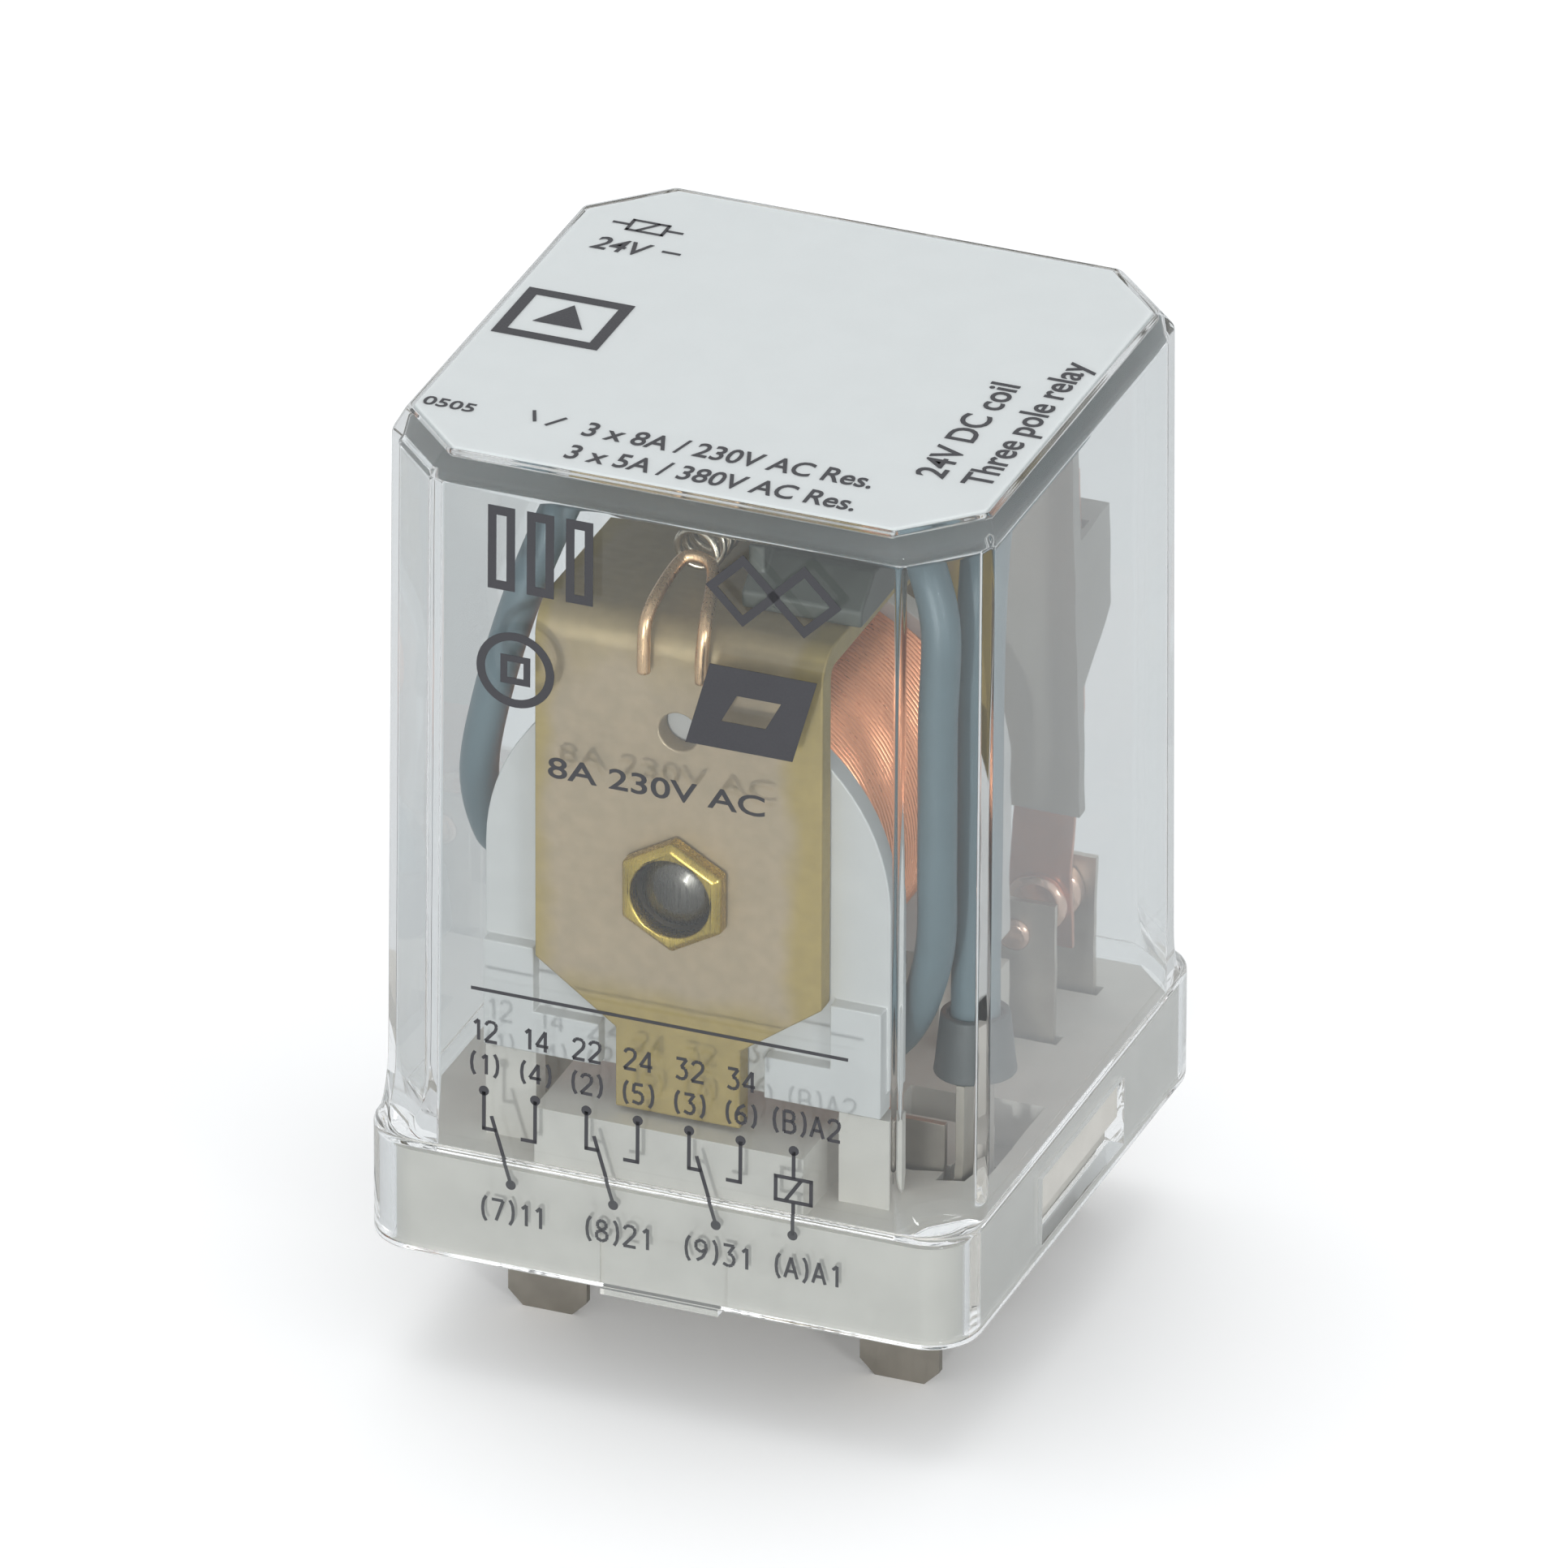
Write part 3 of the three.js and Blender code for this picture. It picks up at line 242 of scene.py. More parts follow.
def clear_plastic():
    finish = Finish("clear_polycarbonate")
    waves = finish.noise(0.12, 1.0)
    glassy = finish.node("ShaderNodeBsdfPrincipled", None, {
        "Base Color": (0.915, 0.935, 0.937, 1),
        "Roughness": 0.015,
        "IOR": POLYCARBONATE_IOR,
        "Transmission Weight": 0.985,
        "Specular Tint": (0.6, 0.6, 0.6, 1),
        "Normal": finish.bump(waves, 0.03),
    })
    tinted = finish.node("ShaderNodeBsdfTransparent", None, {"Color": (0.79, 0.8, 0.8, 1)})
    let_out = finish.node("ShaderNodeBsdfTransparent", None, {"Color": (1, 1, 1, 1)})
    path = finish.node("ShaderNodeLightPath", output="Is Shadow Ray")
    passes = path.largest(path.part("Is Diffuse Ray"))
    trapped = path.part("Ray Depth") > TRAPPED_AFTER
    wall = finish.node("ShaderNodeMixShader", None, {0: passes, 1: glassy, 2: tinted})
    return finish.end(finish.node("ShaderNodeMixShader", None, {0: trapped, 1: wall, 2: let_out}))


CLEAR = clear_plastic()
print("finish:", CLEAR.name)

# %% [markdown]
# ## Moulded plastics and inks
#
# A moulding is never one flat colour. The pigment is a little cloudy, and a fine grain from
# the mould breaks up the gloss. One function covers every opaque plastic here, and only the
# colour, the gloss and the depth of the grain differ. The marking plate is thin enough for
# some light to come through, which keeps its rim bright under the clear lip.

# %% Opaque plastics
def moulded(name, colour, roughness, grain=0.004, cloud=0.94, glow=0.0):
    finish = Finish(name)
    clouds = finish.noise(0.35, 3.0)
    speck = finish.noise(9.0, 2.0)
    dark = (*[part * cloud for part in colour[:3]], 1)
    return finish.surface(
        Base_Color=finish.mix(clouds.ramp(0.35, 0.65), dark, colour),
        Roughness=speck.ramp(0.2, 0.8) * 0.12 + (roughness - 0.06),
        Normal=finish.bump(speck, grain),
        Specular_IOR_Level=0.45,
        Subsurface_Weight=glow,
        Subsurface_Radius=(1.0, 1.0, 1.0),
        Subsurface_Scale=0.8 * MM,
    )


MARKING_WHITE = moulded("marking_white", tone(196, 200, 200), 0.5, cloud=0.985, glow=0.7)
BASE_GREY = moulded("base_grey", tone(205, 202, 195), 0.48)
BOBBIN_WHITE = moulded("bobbin_white", tone(206, 207, 206), 0.4, cloud=0.96)
CARRIER_GREY = moulded("carrier_grey", tone(132, 130, 123), 0.45)
GUIDE_DARK = moulded("guide_dark", tone(70, 76, 70), 0.45)
LEAD_GREY = moulded("lead_grey", tone(100, 119, 126), 0.42, grain=0.01)
SLEEVE_DARK = moulded("sleeve_dark", tone(66, 72, 73), 0.5, grain=0.01)
INK = moulded("printing_ink", tone(52, 52, 56), 0.6, grain=0.002)
print("finishes:", "plastics and ink")

# %% [markdown]
# ## Metals
#
# Rolled or drawn metal carries fine lines along the direction it was worked in. Noise that
# is stretched along one axis gives those lines, both as a change in gloss and as a little
# unevenness.

# %% Worked metal
def worked(name, colour, roughness, along=(1, 1, 0.06), spread=0.12, depth=0.002, dullest=0.75):
    finish = Finish(name)
    lines = finish.noise(7.0, 3.0, along)
    clouds = finish.noise(0.5, 2.0)
    dark = (*[part * dullest for part in colour[:3]], 1)
    return finish.surface(
        Base_Color=finish.mix(clouds.ramp(0.3, 0.7), dark, colour),
        Metallic=1.0,
        Roughness=lines.ramp(0.25, 0.75) * spread + (roughness - spread / 2),
        Normal=finish.bump(lines, depth),
    )


CORE_IRON = worked("core_iron", tone(92, 90, 86), 0.28)
NUT_BRASS = worked("nut_brass", tone(186, 162, 84), 0.28)
WINDING_COPPER = worked("winding_copper", tone(250, 176, 136), 0.32, (0.2, 1, 0.2), dullest=0.9)
SPRING_BRONZE = worked("spring_bronze", tone(190, 134, 110), 0.32, spread=0.06, dullest=0.88)
CONTACT_SILVER = worked("contact_silver", tone(226, 190, 170), 0.2)
BLADE_TINNED = worked("blade_tinned", tone(178, 172, 162), 0.34, spread=0.05, dullest=0.85)
SPRING_STEEL = worked("spring_steel", tone(205, 196, 178), 0.22)
HANGER_WIRE = worked("hanger_wire", tone(226, 190, 150), 0.3)
print("finishes:", "metals")

# %% [markdown]
# ## Passivated steel
#
# The yoke is zinc plated and then passivated in yellow. The film is thinner over the flat
# middle, where it looks lilac grey, and thicker towards the edges and the tab, where it
# turns gold. The mask below is the distance from a line left of the middle, disturbed by
# noise, because a part that hangs in a bath never drains evenly.

# %% Passivated steel
FILM_MIDDLE = -0.6  # mm, where the film is thinnest
FILM_HALF = 6.3
TAB_START = 26.5
BEND_START = 44.0


def passivated():
    finish = Finish("passivated_steel")
    across = finish.node("ShaderNodeSeparateXYZ", None, {"Vector": finish.place()}, output="X")
    height = across.part("Z")
    clouds = finish.noise(0.2, 2.0)
    fine = finish.noise(1.2, 3.0)
    lines = finish.noise(6.0, 3.0, (0.08, 1, 1))
    edge = ((across - FILM_MIDDLE).size() + clouds * 3.0 - 1.5).ramp(FILM_HALF, FILM_HALF + 1.6)
    tab = (TAB_START - height + clouds * 3.0 - 1.5).ramp(0.0, 2.5)
    bend = (height + clouds * 8.0 - 4.0).ramp(BEND_START, BEND_START + 3.0) * 0.4
    gold = edge.largest(tab).largest(bend)
    shade = finish.mix(fine.ramp(0.2, 0.8), tone(166, 149, 124), tone(155, 141, 117))
    yellow = finish.mix(fine.ramp(0.2, 0.8), tone(160, 141, 84), tone(149, 131, 78))
    return finish.surface(
        Base_Color=finish.mix(gold, shade, yellow),
        Metallic=0.3,
        Roughness=lines.ramp(0.3, 0.7) * 0.1 + 0.45,
        Normal=finish.bump(lines, 0.002),
    )


PASSIVATED = passivated()
print("finish:", PASSIVATED.name)

# %% [markdown]
# ## Tools for making meshes
#
# Most pieces here are one of three kinds of shape. Some are stacks of rings, some are turned
# on a lathe, and some are round wires that follow a path. Each kind has a short function. A
# fourth function takes a CAD node whose shape is already right, merges its loose triangles
# and breaks its sharp edges, because it is the broken edge that catches the light.

# %% Mesh tools
FLAT_ANGLE = math.radians(1)  # faces closer than this are one flat side
SHARP_ANGLE = math.radians(32)  # edges sharper than this are broken
FLATNESS = 80  # how far a flat side rules the shading at its edge, out of 100
POINTED = 1e-3  # mm, the least radius on the lathe, which keeps a tip closed


def new_piece(name, verts, faces, material, smooth=True):
    """A mesh object at the origin, with its normals pointing out."""
    mesh = bpy.data.meshes.new(name)
    mesh.from_pydata([tuple(v) for v in verts], [], [list(f) for f in faces])
    tidy = bmesh.new()
    tidy.from_mesh(mesh)
    bmesh.ops.remove_doubles(tidy, verts=tidy.verts, dist=1e-7)
    bmesh.ops.recalc_face_normals(tidy, faces=tidy.faces)
    tidy.to_mesh(mesh)
    tidy.free()
    for polygon in mesh.polygons:
        polygon.use_smooth = smooth
    mesh.materials.append(material)
    piece = bpy.data.objects.new(name, mesh)
    bpy.context.collection.objects.link(piece)
    return piece


def lofted(name, rings, material, closed=False):
    """Skins a stack of rings that all have the same number of points."""
    count = len(rings[0])
    verts = [point for ring in rings for point in ring]
    faces = []
    last = len(rings) if closed else len(rings) - 1
    for i in range(last):
        low = i * count
        high = (i + 1) % len(rings) * count
        for j in range(count):
            k = (j + 1) % count
            faces.append((low + j, low + k, high + k, high + j))
    if not closed:
        faces.append(tuple(range(count - 1, -1, -1)))
        faces.append(tuple(range((len(rings) - 1) * count, len(rings) * count)))
    return new_piece(name, verts, faces, material)


def eased(rings, reach, steps=3):
    """Rounds the bend at each ring between the first and the last, within reach of it."""
    rings = [np.array(ring, float) for ring in rings]
    out = [rings[0]]
    for before, here, after in zip(rings, rings[1:], rings[2:]):
        ends = []
        for other in (before, after):
            run = np.linalg.norm(other - here, axis=1, keepdims=True)
            share = np.minimum(reach, run * 0.45) / np.maximum(run, 1e-9)
            ends.append(here + (other - here) * share)
        for t in np.linspace(0, 1, steps + 1):
            out.append((1 - t) ** 2 * ends[0] + 2 * t * (1 - t) * here + t**2 * ends[1])
    return out + [rings[-1]]


def turned(name, profile, centre, axis, material, segments=48, reach=0.0):
    """Turns a profile of (radius, distance along the axis) pairs, in millimetres, on a lathe."""
    side = axis.orthogonal().normalized()
    other = axis.cross(side)
    angles = np.linspace(0, 2 * math.pi, segments, endpoint=False)
    rings = []
    for radius, along in profile:
        middle = centre + axis * (along * MM)
        rings.append([
            middle + (side * math.cos(a) + other * math.sin(a)) * (max(radius, POINTED) * MM) for a in angles
        ])
    if reach:
        rings = eased(rings, reach * MM)
    return lofted(name, rings, material)


def wire(name, path, diameter, material, sides=14):
    """A round wire along a list of points, with its ends closed."""
    path = [Vector(p) for p in path]
    tangents = [(b - a).normalized() for a, b in zip(path, path[1:])]
    tangents.append(tangents[-1])
    normal = tangents[0].orthogonal().normalized()
    rings = []
    for point, tangent in zip(path, tangents):
        normal = (normal - tangent * normal.dot(tangent)).normalized()
        across = tangent.cross(normal)
        rings.append([
            point + (normal * math.cos(a) + across * math.sin(a)) * (diameter / 2)
            for a in np.linspace(0, 2 * math.pi, sides, endpoint=False)
        ])
    return lofted(name, rings, material)


def flowing(points, per_span=8):
    """A smooth curve through points: the centripetal Catmull-Rom curve that the CAD tubes follow."""
    points = np.array([tuple(p) for p in points], float)
    ends = [2 * points[0] - points[1], 2 * points[-1] - points[-2]]
    guides = np.vstack([ends[:1], points, ends[1:]])
    out = []
    for i in range(len(points) - 1):
        level = guides[i:i + 4]
        knots = np.concatenate([[0], np.cumsum(np.linalg.norm(np.diff(level, axis=0), axis=1) ** 0.5)])
        spots = np.linspace(knots[1], knots[2], per_span, endpoint=False)
        out += [blended(level, knots, t) for t in spots]
    out.append(points[-1])
    return out


def blended(level, knots, t):
    """One point of the curve, by mixing neighbours until a single point is left."""
    for pairs, first, reach in ((3, 0, 1), (2, 0, 2), (1, 1, 1)):
        mixed = []
        for k in range(pairs):
            start, end = knots[k + first], knots[k + first + reach]
            mixed.append(level[k] + (level[k + 1] - level[k]) * (t - start) / (end - start))
        level = mixed
    return level[0]


def refined(node, name, material, edge=0.12, segments=2, merge=2e-6):
    """A copy of a CAD node with its triangles merged and its sharp edges broken."""
    mesh = bpy.data.meshes.new(name)
    tidy = bmesh.new()
    tidy.from_mesh(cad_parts[node].data)
    bmesh.ops.remove_doubles(tidy, verts=tidy.verts, dist=merge)
    bmesh.ops.dissolve_limit(
        tidy, angle_limit=FLAT_ANGLE, verts=tidy.verts, edges=tidy.edges, delimit=set()
    )
    tidy.to_mesh(mesh)
    tidy.free()
    for polygon in mesh.polygons:
        polygon.use_smooth = True
    mesh.materials.clear()
    mesh.materials.append(material)
    piece = bpy.data.objects.new(name, mesh)
    bpy.context.collection.objects.link(piece)
    bevel = piece.modifiers.new("edge", "BEVEL")
    bevel.width = edge * MM
    bevel.segments = segments
    bevel.limit_method = "ANGLE"
    bevel.angle_limit = SHARP_ANGLE
    bevel.use_clamp_overlap = True
    flats = piece.modifiers.new("flat sides", "WEIGHTED_NORMAL")
    flats.weight = FLATNESS
    return settled(piece)


def settled(piece):
    """Turns the result of a piece's modifiers into its plain mesh."""
    graph = bpy.context.evaluated_depsgraph_get()
    mesh = bpy.data.meshes.new_from_object(piece.evaluated_get(graph))
    piece.modifiers.clear()
    old = piece.data
    piece.data = mesh
    bpy.data.meshes.remove(old)
    mesh.name = piece.name
    return piece


def stand_for(piece, body, slot, *nodes):
    """The piece rides on a body and stands for CAD nodes, which it hides. The slot is not used."""
    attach(piece, body)
    if nodes:
        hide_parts(*nodes)
    print(f"{piece.name}: {len(piece.data.polygons)} faces on {body}")
    return piece


# %% [markdown]
# ## The cover
#
# The cover is a stack of rings. Near the rim each ring is a rounded rectangle, and higher up
# it is a rectangle with chamfered corners. Both are the same figure: four straight sides and
# four chamfers, with the eight bends between them rounded. So one function draws every ring,
# and the scooped ramps at the corners come from sliding its two numbers from one set to the
# other while the height follows a quarter circle.

# %% Rings of the cover
HALF_X = cover_high.x / MM
HALF_Y = cover_high.y / MM
TOP = (cover_high.z - RIM) / MM
SKIRT = 7.0
RAMP = 3.5
SHOULDER = TOP - 1.2
STEP = 0.1
LEAN_X = 0.16
LEAN_Y = 0.7
CHAMFER = 3.9
WALL = 1.15
ROOF = 2.0
LEDGE = 6.3
SUNK = 0.66  # depth of the recess: the marking plate is glued in, so clear plastic wets its underside
PER_BEND = 6
SKIRT_ROUND = 3.0
CORNER_ROUND = 0.5
INNER_ROUND = 0.4


def rounded(radius):
    """Chamfer and bend radius that make a ring a plain rounded rectangle."""
    return radius * (2 - math.sqrt(2)), radius


def ring(half_x, half_y, z, chamfer, bend):
    """A rectangle with chamfered corners whose bends are rounded, anticlockwise from above."""
    tangent = bend * math.tan(math.pi / 8)
    bends = [
        (half_x - bend, half_y - chamfer - tangent, 0),
        (half_x - chamfer - tangent, half_y - bend, 45),
    ]
    corner = []
    for cx, cy, start in bends:
        for angle in np.radians(np.linspace(start, start + 45, PER_BEND)):
            corner.append((cx + bend * math.cos(angle), cy + bend * math.sin(angle)))
    mirrored = [(-x, y) for x, y in reversed(corner)]
    upper = corner + mirrored
    whole = upper + [(-x, -y) for x, y in upper]
    return [at(x, y, z) for x, y in whole]


def wall_ring(z, inset=0.0, bend=CORNER_ROUND):
    """A ring of the upper cover, whose sides lean in a little towards the top."""
    share = z / SHOULDER
    return ring(
        HALF_X - STEP - LEAN_X * share - inset, HALF_Y - STEP - LEAN_Y * share - inset, z,
        CHAMFER - inset * (2 - math.sqrt(2)), bend,
    )


def ramp_rings(steps=7):
    """From the rounded skirt, in and up a quarter circle, to the chamfered wall."""
    rings = []
    for angle in np.linspace(0.12, math.pi / 2, steps):
        z = SKIRT + RAMP * (1 - math.cos(angle))
        share = z / SHOULDER
        chamfer, bend = rounded(SKIRT_ROUND)
        slide = math.sin(angle)
        rings.append(ring(
            HALF_X - STEP - LEAN_X * share, HALF_Y - STEP - LEAN_Y * share, z,
            chamfer + (CHAMFER - chamfer) * slide, bend + (CORNER_ROUND - bend) * slide,
        ))
    return rings


print("cover: ring functions ready")

# %% [markdown]
# ## One shell, then its openings
#
# The real cover is moulded in one shot, with a wall a little over a millimetre thick. The
# outside and the inside could be two skins, but one skin that runs over the rim is always
# closed, and glass has to be closed to bend light. The windows for the latches are cut
# afterwards with booleans, and a short tongue is joined to the front of the rim. At the end
# the normals are weighted, so that flat walls stay flat right up to their rounded edges.

# %% The cover itself
roof_x = HALF_X - STEP - LEAN_X - 0.6
roof_y = HALF_Y - STEP - LEAN_Y - 0.8
LIP = 0.2  # from the roof's edge to the recess for the marking plate
outside = [
    ring(HALF_X, HALF_Y, 0, *rounded(SKIRT_ROUND)),
    ring(HALF_X, HALF_Y, SKIRT, *rounded(SKIRT_ROUND)),
    *ramp_rings(),
    wall_ring(SHOULDER),
    ring(roof_x, roof_y, TOP, CHAMFER, CORNER_ROUND),
    ring(roof_x - LIP, roof_y - LIP, TOP, CHAMFER, CORNER_ROUND),
    ring(roof_x - LIP, roof_y - LIP, TOP - SUNK, CHAMFER, CORNER_ROUND),
]
inside = [
    wall_ring(TOP - ROOF, WALL, INNER_ROUND),
    wall_ring(LEDGE, WALL, INNER_ROUND),
    ring(HALF_X - WALL, HALF_Y - WALL, LEDGE, *rounded(SKIRT_ROUND - WALL)),
    ring(HALF_X - WALL, HALF_Y - WALL, 0, *rounded(SKIRT_ROUND - WALL)),
]


RIM_ROUND = 0.28  # how far from each bend the skin starts to turn


def make_shell():
    """Outside and inside walls as one closed skin, from the roof's recess to the roof's underside."""
    centre_out = [at(0, 0, TOP - SUNK)] * len(outside[0])
    centre_in = [at(0, 0, TOP - ROOF)] * len(outside[0])
    stack = [centre_out, *reversed(outside), *reversed(inside), centre_in]
    smooth = eased(stack, RIM_ROUND * MM, 3)
    return lofted("clear_cover", smooth, CLEAR)


def box_mesh(name, low, high):
    """A plain box, used only as a cutter."""
    corners = [at(x, y, z) for x in (low[0], high[0]) for y in (low[1], high[1]) for z in (low[2], high[2])]
    faces = [(0, 1, 3, 2), (4, 6, 7, 5), (0, 4, 5, 1), (2, 3, 7, 6), (0, 2, 6, 4), (1, 5, 7, 3)]
    return new_piece(name, corners, faces, CLEAR, smooth=False)


def carved(piece, cutters, operation="DIFFERENCE"):
    """Applies one boolean for each cutter and throws the cutters away."""
    for cutter in cutters:
        change = piece.modifiers.new("cut", "BOOLEAN")
        change.operation = operation
        change.solver = "EXACT"
        change.object = cutter
    settled(piece)
    for cutter in cutters:
        bpy.data.objects.remove(cutter)
    return piece


WINDOW_HALF = 6.3
WINDOW_LOW = 0.9
WINDOW_HIGH = 5.1
THROUGH = 1.8  # a cutter reaches this far past the wall on both sides
TONGUE_HALF = 3.5
TONGUE_TOP = 2.0
SUNK_IN_WALL = 0.04

cover = make_shell()
carved(cover, [
    box_mesh(
        "window", (side * HALF_X - THROUGH, -WINDOW_HALF, WINDOW_LOW),
        (side * HALF_X + THROUGH, WINDOW_HALF, WINDOW_HIGH),
    )
    for side in (-1, 1)
])
tongue = box_mesh(
    "tongue", (-TONGUE_HALF, -HALF_Y + SUNK_IN_WALL, -TONGUE_DROP / MM),
    (TONGUE_HALF, -HALF_Y + WALL - SUNK_IN_WALL, TONGUE_TOP),
)
carved(cover, [tongue], "UNION")
weights = cover.modifiers.new("flat sides", "WEIGHTED_NORMAL")
weights.keep_sharp = True
weights.weight = 90
settled(cover)
stand_for(cover, FIXED, "clear_cover", "cover")

# %% [markdown]
# ## Pieces whose CAD shape is already right
#
# Plates, mouldings and blades keep the CAD outline. They only need broken edges and a
# material, so a list says which node becomes which finish, and a loop does the rest.

# %% Refined CAD nodes
PLAIN = [
    ("marking_plate", FIXED, "marking_white", MARKING_WHITE, 0.12),
    ("base", FIXED, "base_grey", BASE_GREY, 0.12),
    ("yoke", FIXED, "passivated_steel", PASSIVATED, 0.12),
    ("bobbin", FIXED, "bobbin_white", BOBBIN_WHITE, 0.15),
    ("lead_guide", FIXED, "guide_dark", GUIDE_DARK, 0.2),
    ("armature", MOVING, "passivated_steel", PASSIVATED, 0.12),
    ("contact_carrier", MOVING, "carrier_grey", CARRIER_GREY, 0.2),
    ("carrier_rivet_left", MOVING, "nut_brass", NUT_BRASS, 0.05),
    ("carrier_rivet_right", MOVING, "nut_brass", NUT_BRASS, 0.05),
]
PLAIN += [(f"moving_blade_{i}", MOVING, "spring_bronze", SPRING_BRONZE, 0.05) for i in (1, 2, 3)]
PLAIN += [
    (f"{kind}_terminal_{i}", FIXED, "blade_tinned", BLADE_TINNED, 0.06)
    for kind in ("com", "no", "nc") for i in (1, 2, 3)
]
PLAIN += [(f"coil_terminal_{letter}", FIXED, "blade_tinned", BLADE_TINNED, 0.06) for letter in "ab"]

for node, body, slot, material, edge in PLAIN:
    stand_for(refined(node, f"{node}_finished", material, edge), body, slot, node)

# %% [markdown]
# ## Turned pieces
#
# The core, its nut and the sleeves on the leads are round, so they are turned again with
# enough segments to look smooth.

# %% Core, nut and sleeves
BACKWARD = Vector((0, 1, 0))
UPWARD = Vector((0, 0, 1))
core_low, core_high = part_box("core")
CORE_Z = ((core_low.z + core_high.z) / 2 - RIM) / MM
DOME = core_low.y / MM
POLE = core_high.y / MM
NECK = 2.25
NECK_END = -13.6
SHAFT = 3.5
POLE_DISC = 4.6
DISC = 1.4  # thickness of the disc that faces the armature

core = turned("core_turned", [
    (0, DOME), (0.6, DOME + 0.03), (1.1, DOME + 0.13), (1.7, DOME + 0.37), (2.1, DOME + 0.65),
    (NECK, DOME + 0.9), (NECK, NECK_END), (SHAFT, NECK_END), (SHAFT, POLE - DISC),
    (POLE_DISC, POLE - DISC), (POLE_DISC, POLE), (0, POLE),
], at(0, 0, CORE_Z), BACKWARD, CORE_IRON, reach=0.12)
stand_for(core, FIXED, "core_iron", "core")

nut = refined("core_nut", "core_nut_finished", NUT_BRASS, 0.14, 3)
stand_for(nut, FIXED, "nut_brass", "core_nut")

SLEEVE_FLARE = 0.4
for number in (1, 3):
    low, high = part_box(f"lead_sleeve_{number}")
    radius = (high.x - low.x) / 2 / MM
    length = (high.z - low.z) / MM
    centre = Vector(((low.x + high.x) / 2, (low.y + high.y) / 2, low.z))
    top = radius - SLEEVE_FLARE
    profile = [(0, 0), (radius, 0), (radius - 0.08, 0.5), (top, length), (top - 0.45, length),
               (top - 0.5, length - 0.4), (0, length - 0.4)]
    sleeve = turned(f"sleeve_{number}", profile, centre, UPWARD, SLEEVE_DARK, 32, 0.15)
    stand_for(sleeve, FIXED, "sleeve_dark", f"lead_sleeve_{number}")
middle_sleeve = refined("lead_sleeve_2", "sleeve_2", SLEEVE_DARK, 0.1)
stand_for(middle_sleeve, FIXED, "sleeve_dark", "lead_sleeve_2")

# %% [markdown]
# ## Leads
#
# The three flexible leads are held at both ends inside the relay: below on a fixed terminal
# and above on a moving blade. They follow the routes of their CAD tubes, with more sides and
# closer steps.

# %% Leads and coil wires
LEAD_DIAMETER = 2.2 * MM
TAIL_DIAMETER = 0.4 * MM
BEND_FROM = at(0, 4, 40)
BEND_TO = at(0, 10, 40)
LEAD_ROUTES = [
    [(-10.2, 11.7, 40.06), (-10.2, 11.7, 41.56), (-10.2, 9.5, 44.5), (-9.8, 4, 45.1), (-9, -6, 45.1),
     (-8.7, -10.6, 44.5), (-10.3, -11.9, 39.7), (-12.4, -11.8, 32.4), (-13.5, -11, 27),
     (-13.7, -8.4, 22), (-13.4, -5.2, 19.1), (-13.4, -4.4, 17.1), (-13.4, -4.4, 12.7)],
    [(0, 11.7, 40.06), (0, 11.7, 41.56), (0.6, 9.5, 45.5), (3.6, 4, 46.1), (9, -6, 46.1),
     (12.2, -10.6, 45.1), (13.6, -11.8, 42.1), (13.6, -12, 36), (13.6, -12, 27), (13.5, -11.8, 22.5),
     (12.9, -11.2, 19.8), (11.4, -9.7, 16.2), (9.4, -8, 13.2), (6.6, -6.4, 11.2), (3.2, -5.6, 10),
     (0.7, -5, 9.2), (0, -3.6, 9.2), (0, -1.15, 9.2)],
    [(10.2, 11.7, 40.06), (10.2, 11.7, 41.56), (10.6, 9.5, 44.5), (11.8, 4, 45.1), (13.4, -4.6, 45.1),
     (14.2, -7.6, 42.7), (14.3, -8.3, 38), (14.3, -8.4, 28), (14.3, -8.6, 20), (14.3, -8.6, 15.2),
     (14.3, -8.6, 12.7)],
]
for number, route in enumerate(LEAD_ROUTES, 1):
    lead = wire(f"lead_{number}", flowing([at(*p) for p in route]), LEAD_DIAMETER, LEAD_GREY)
    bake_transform(lead)
    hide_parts(f"flexible_lead_{number}")
    print(f"{lead.name}: {len(lead.data.polygons)} faces, bends between both bodies")

TAIL_ROUTE = [
    (6.2, -11.9, 15.4), (7.6, -11.4, 13.1), (9.2, -10.3, 11.3), (9.95, -8.9, 10.3), (10.15, -8.6, 9.3),
]
for letter, side in (("a", 1), ("b", -1)):
    path = flowing([at(side * x, y, z) for x, y, z in TAIL_ROUTE])
    tail = wire(f"coil_tail_{letter}", path, TAIL_DIAMETER, WINDING_COPPER, 10)
    stand_for(tail, FIXED, "winding_copper", f"coil_wire_{letter}")

# %% [markdown]
# ## Pieces that repeat: Geometry Nodes
#
# The winding, the return spring and the contacts all repeat one shape by a rule. Geometry
# Nodes suit them: the rule is a small tree with named sizes, and a change of a size redraws
# every turn. Each tree ends in Realize Instances and Set Material, and its result is kept as
# a plain mesh.

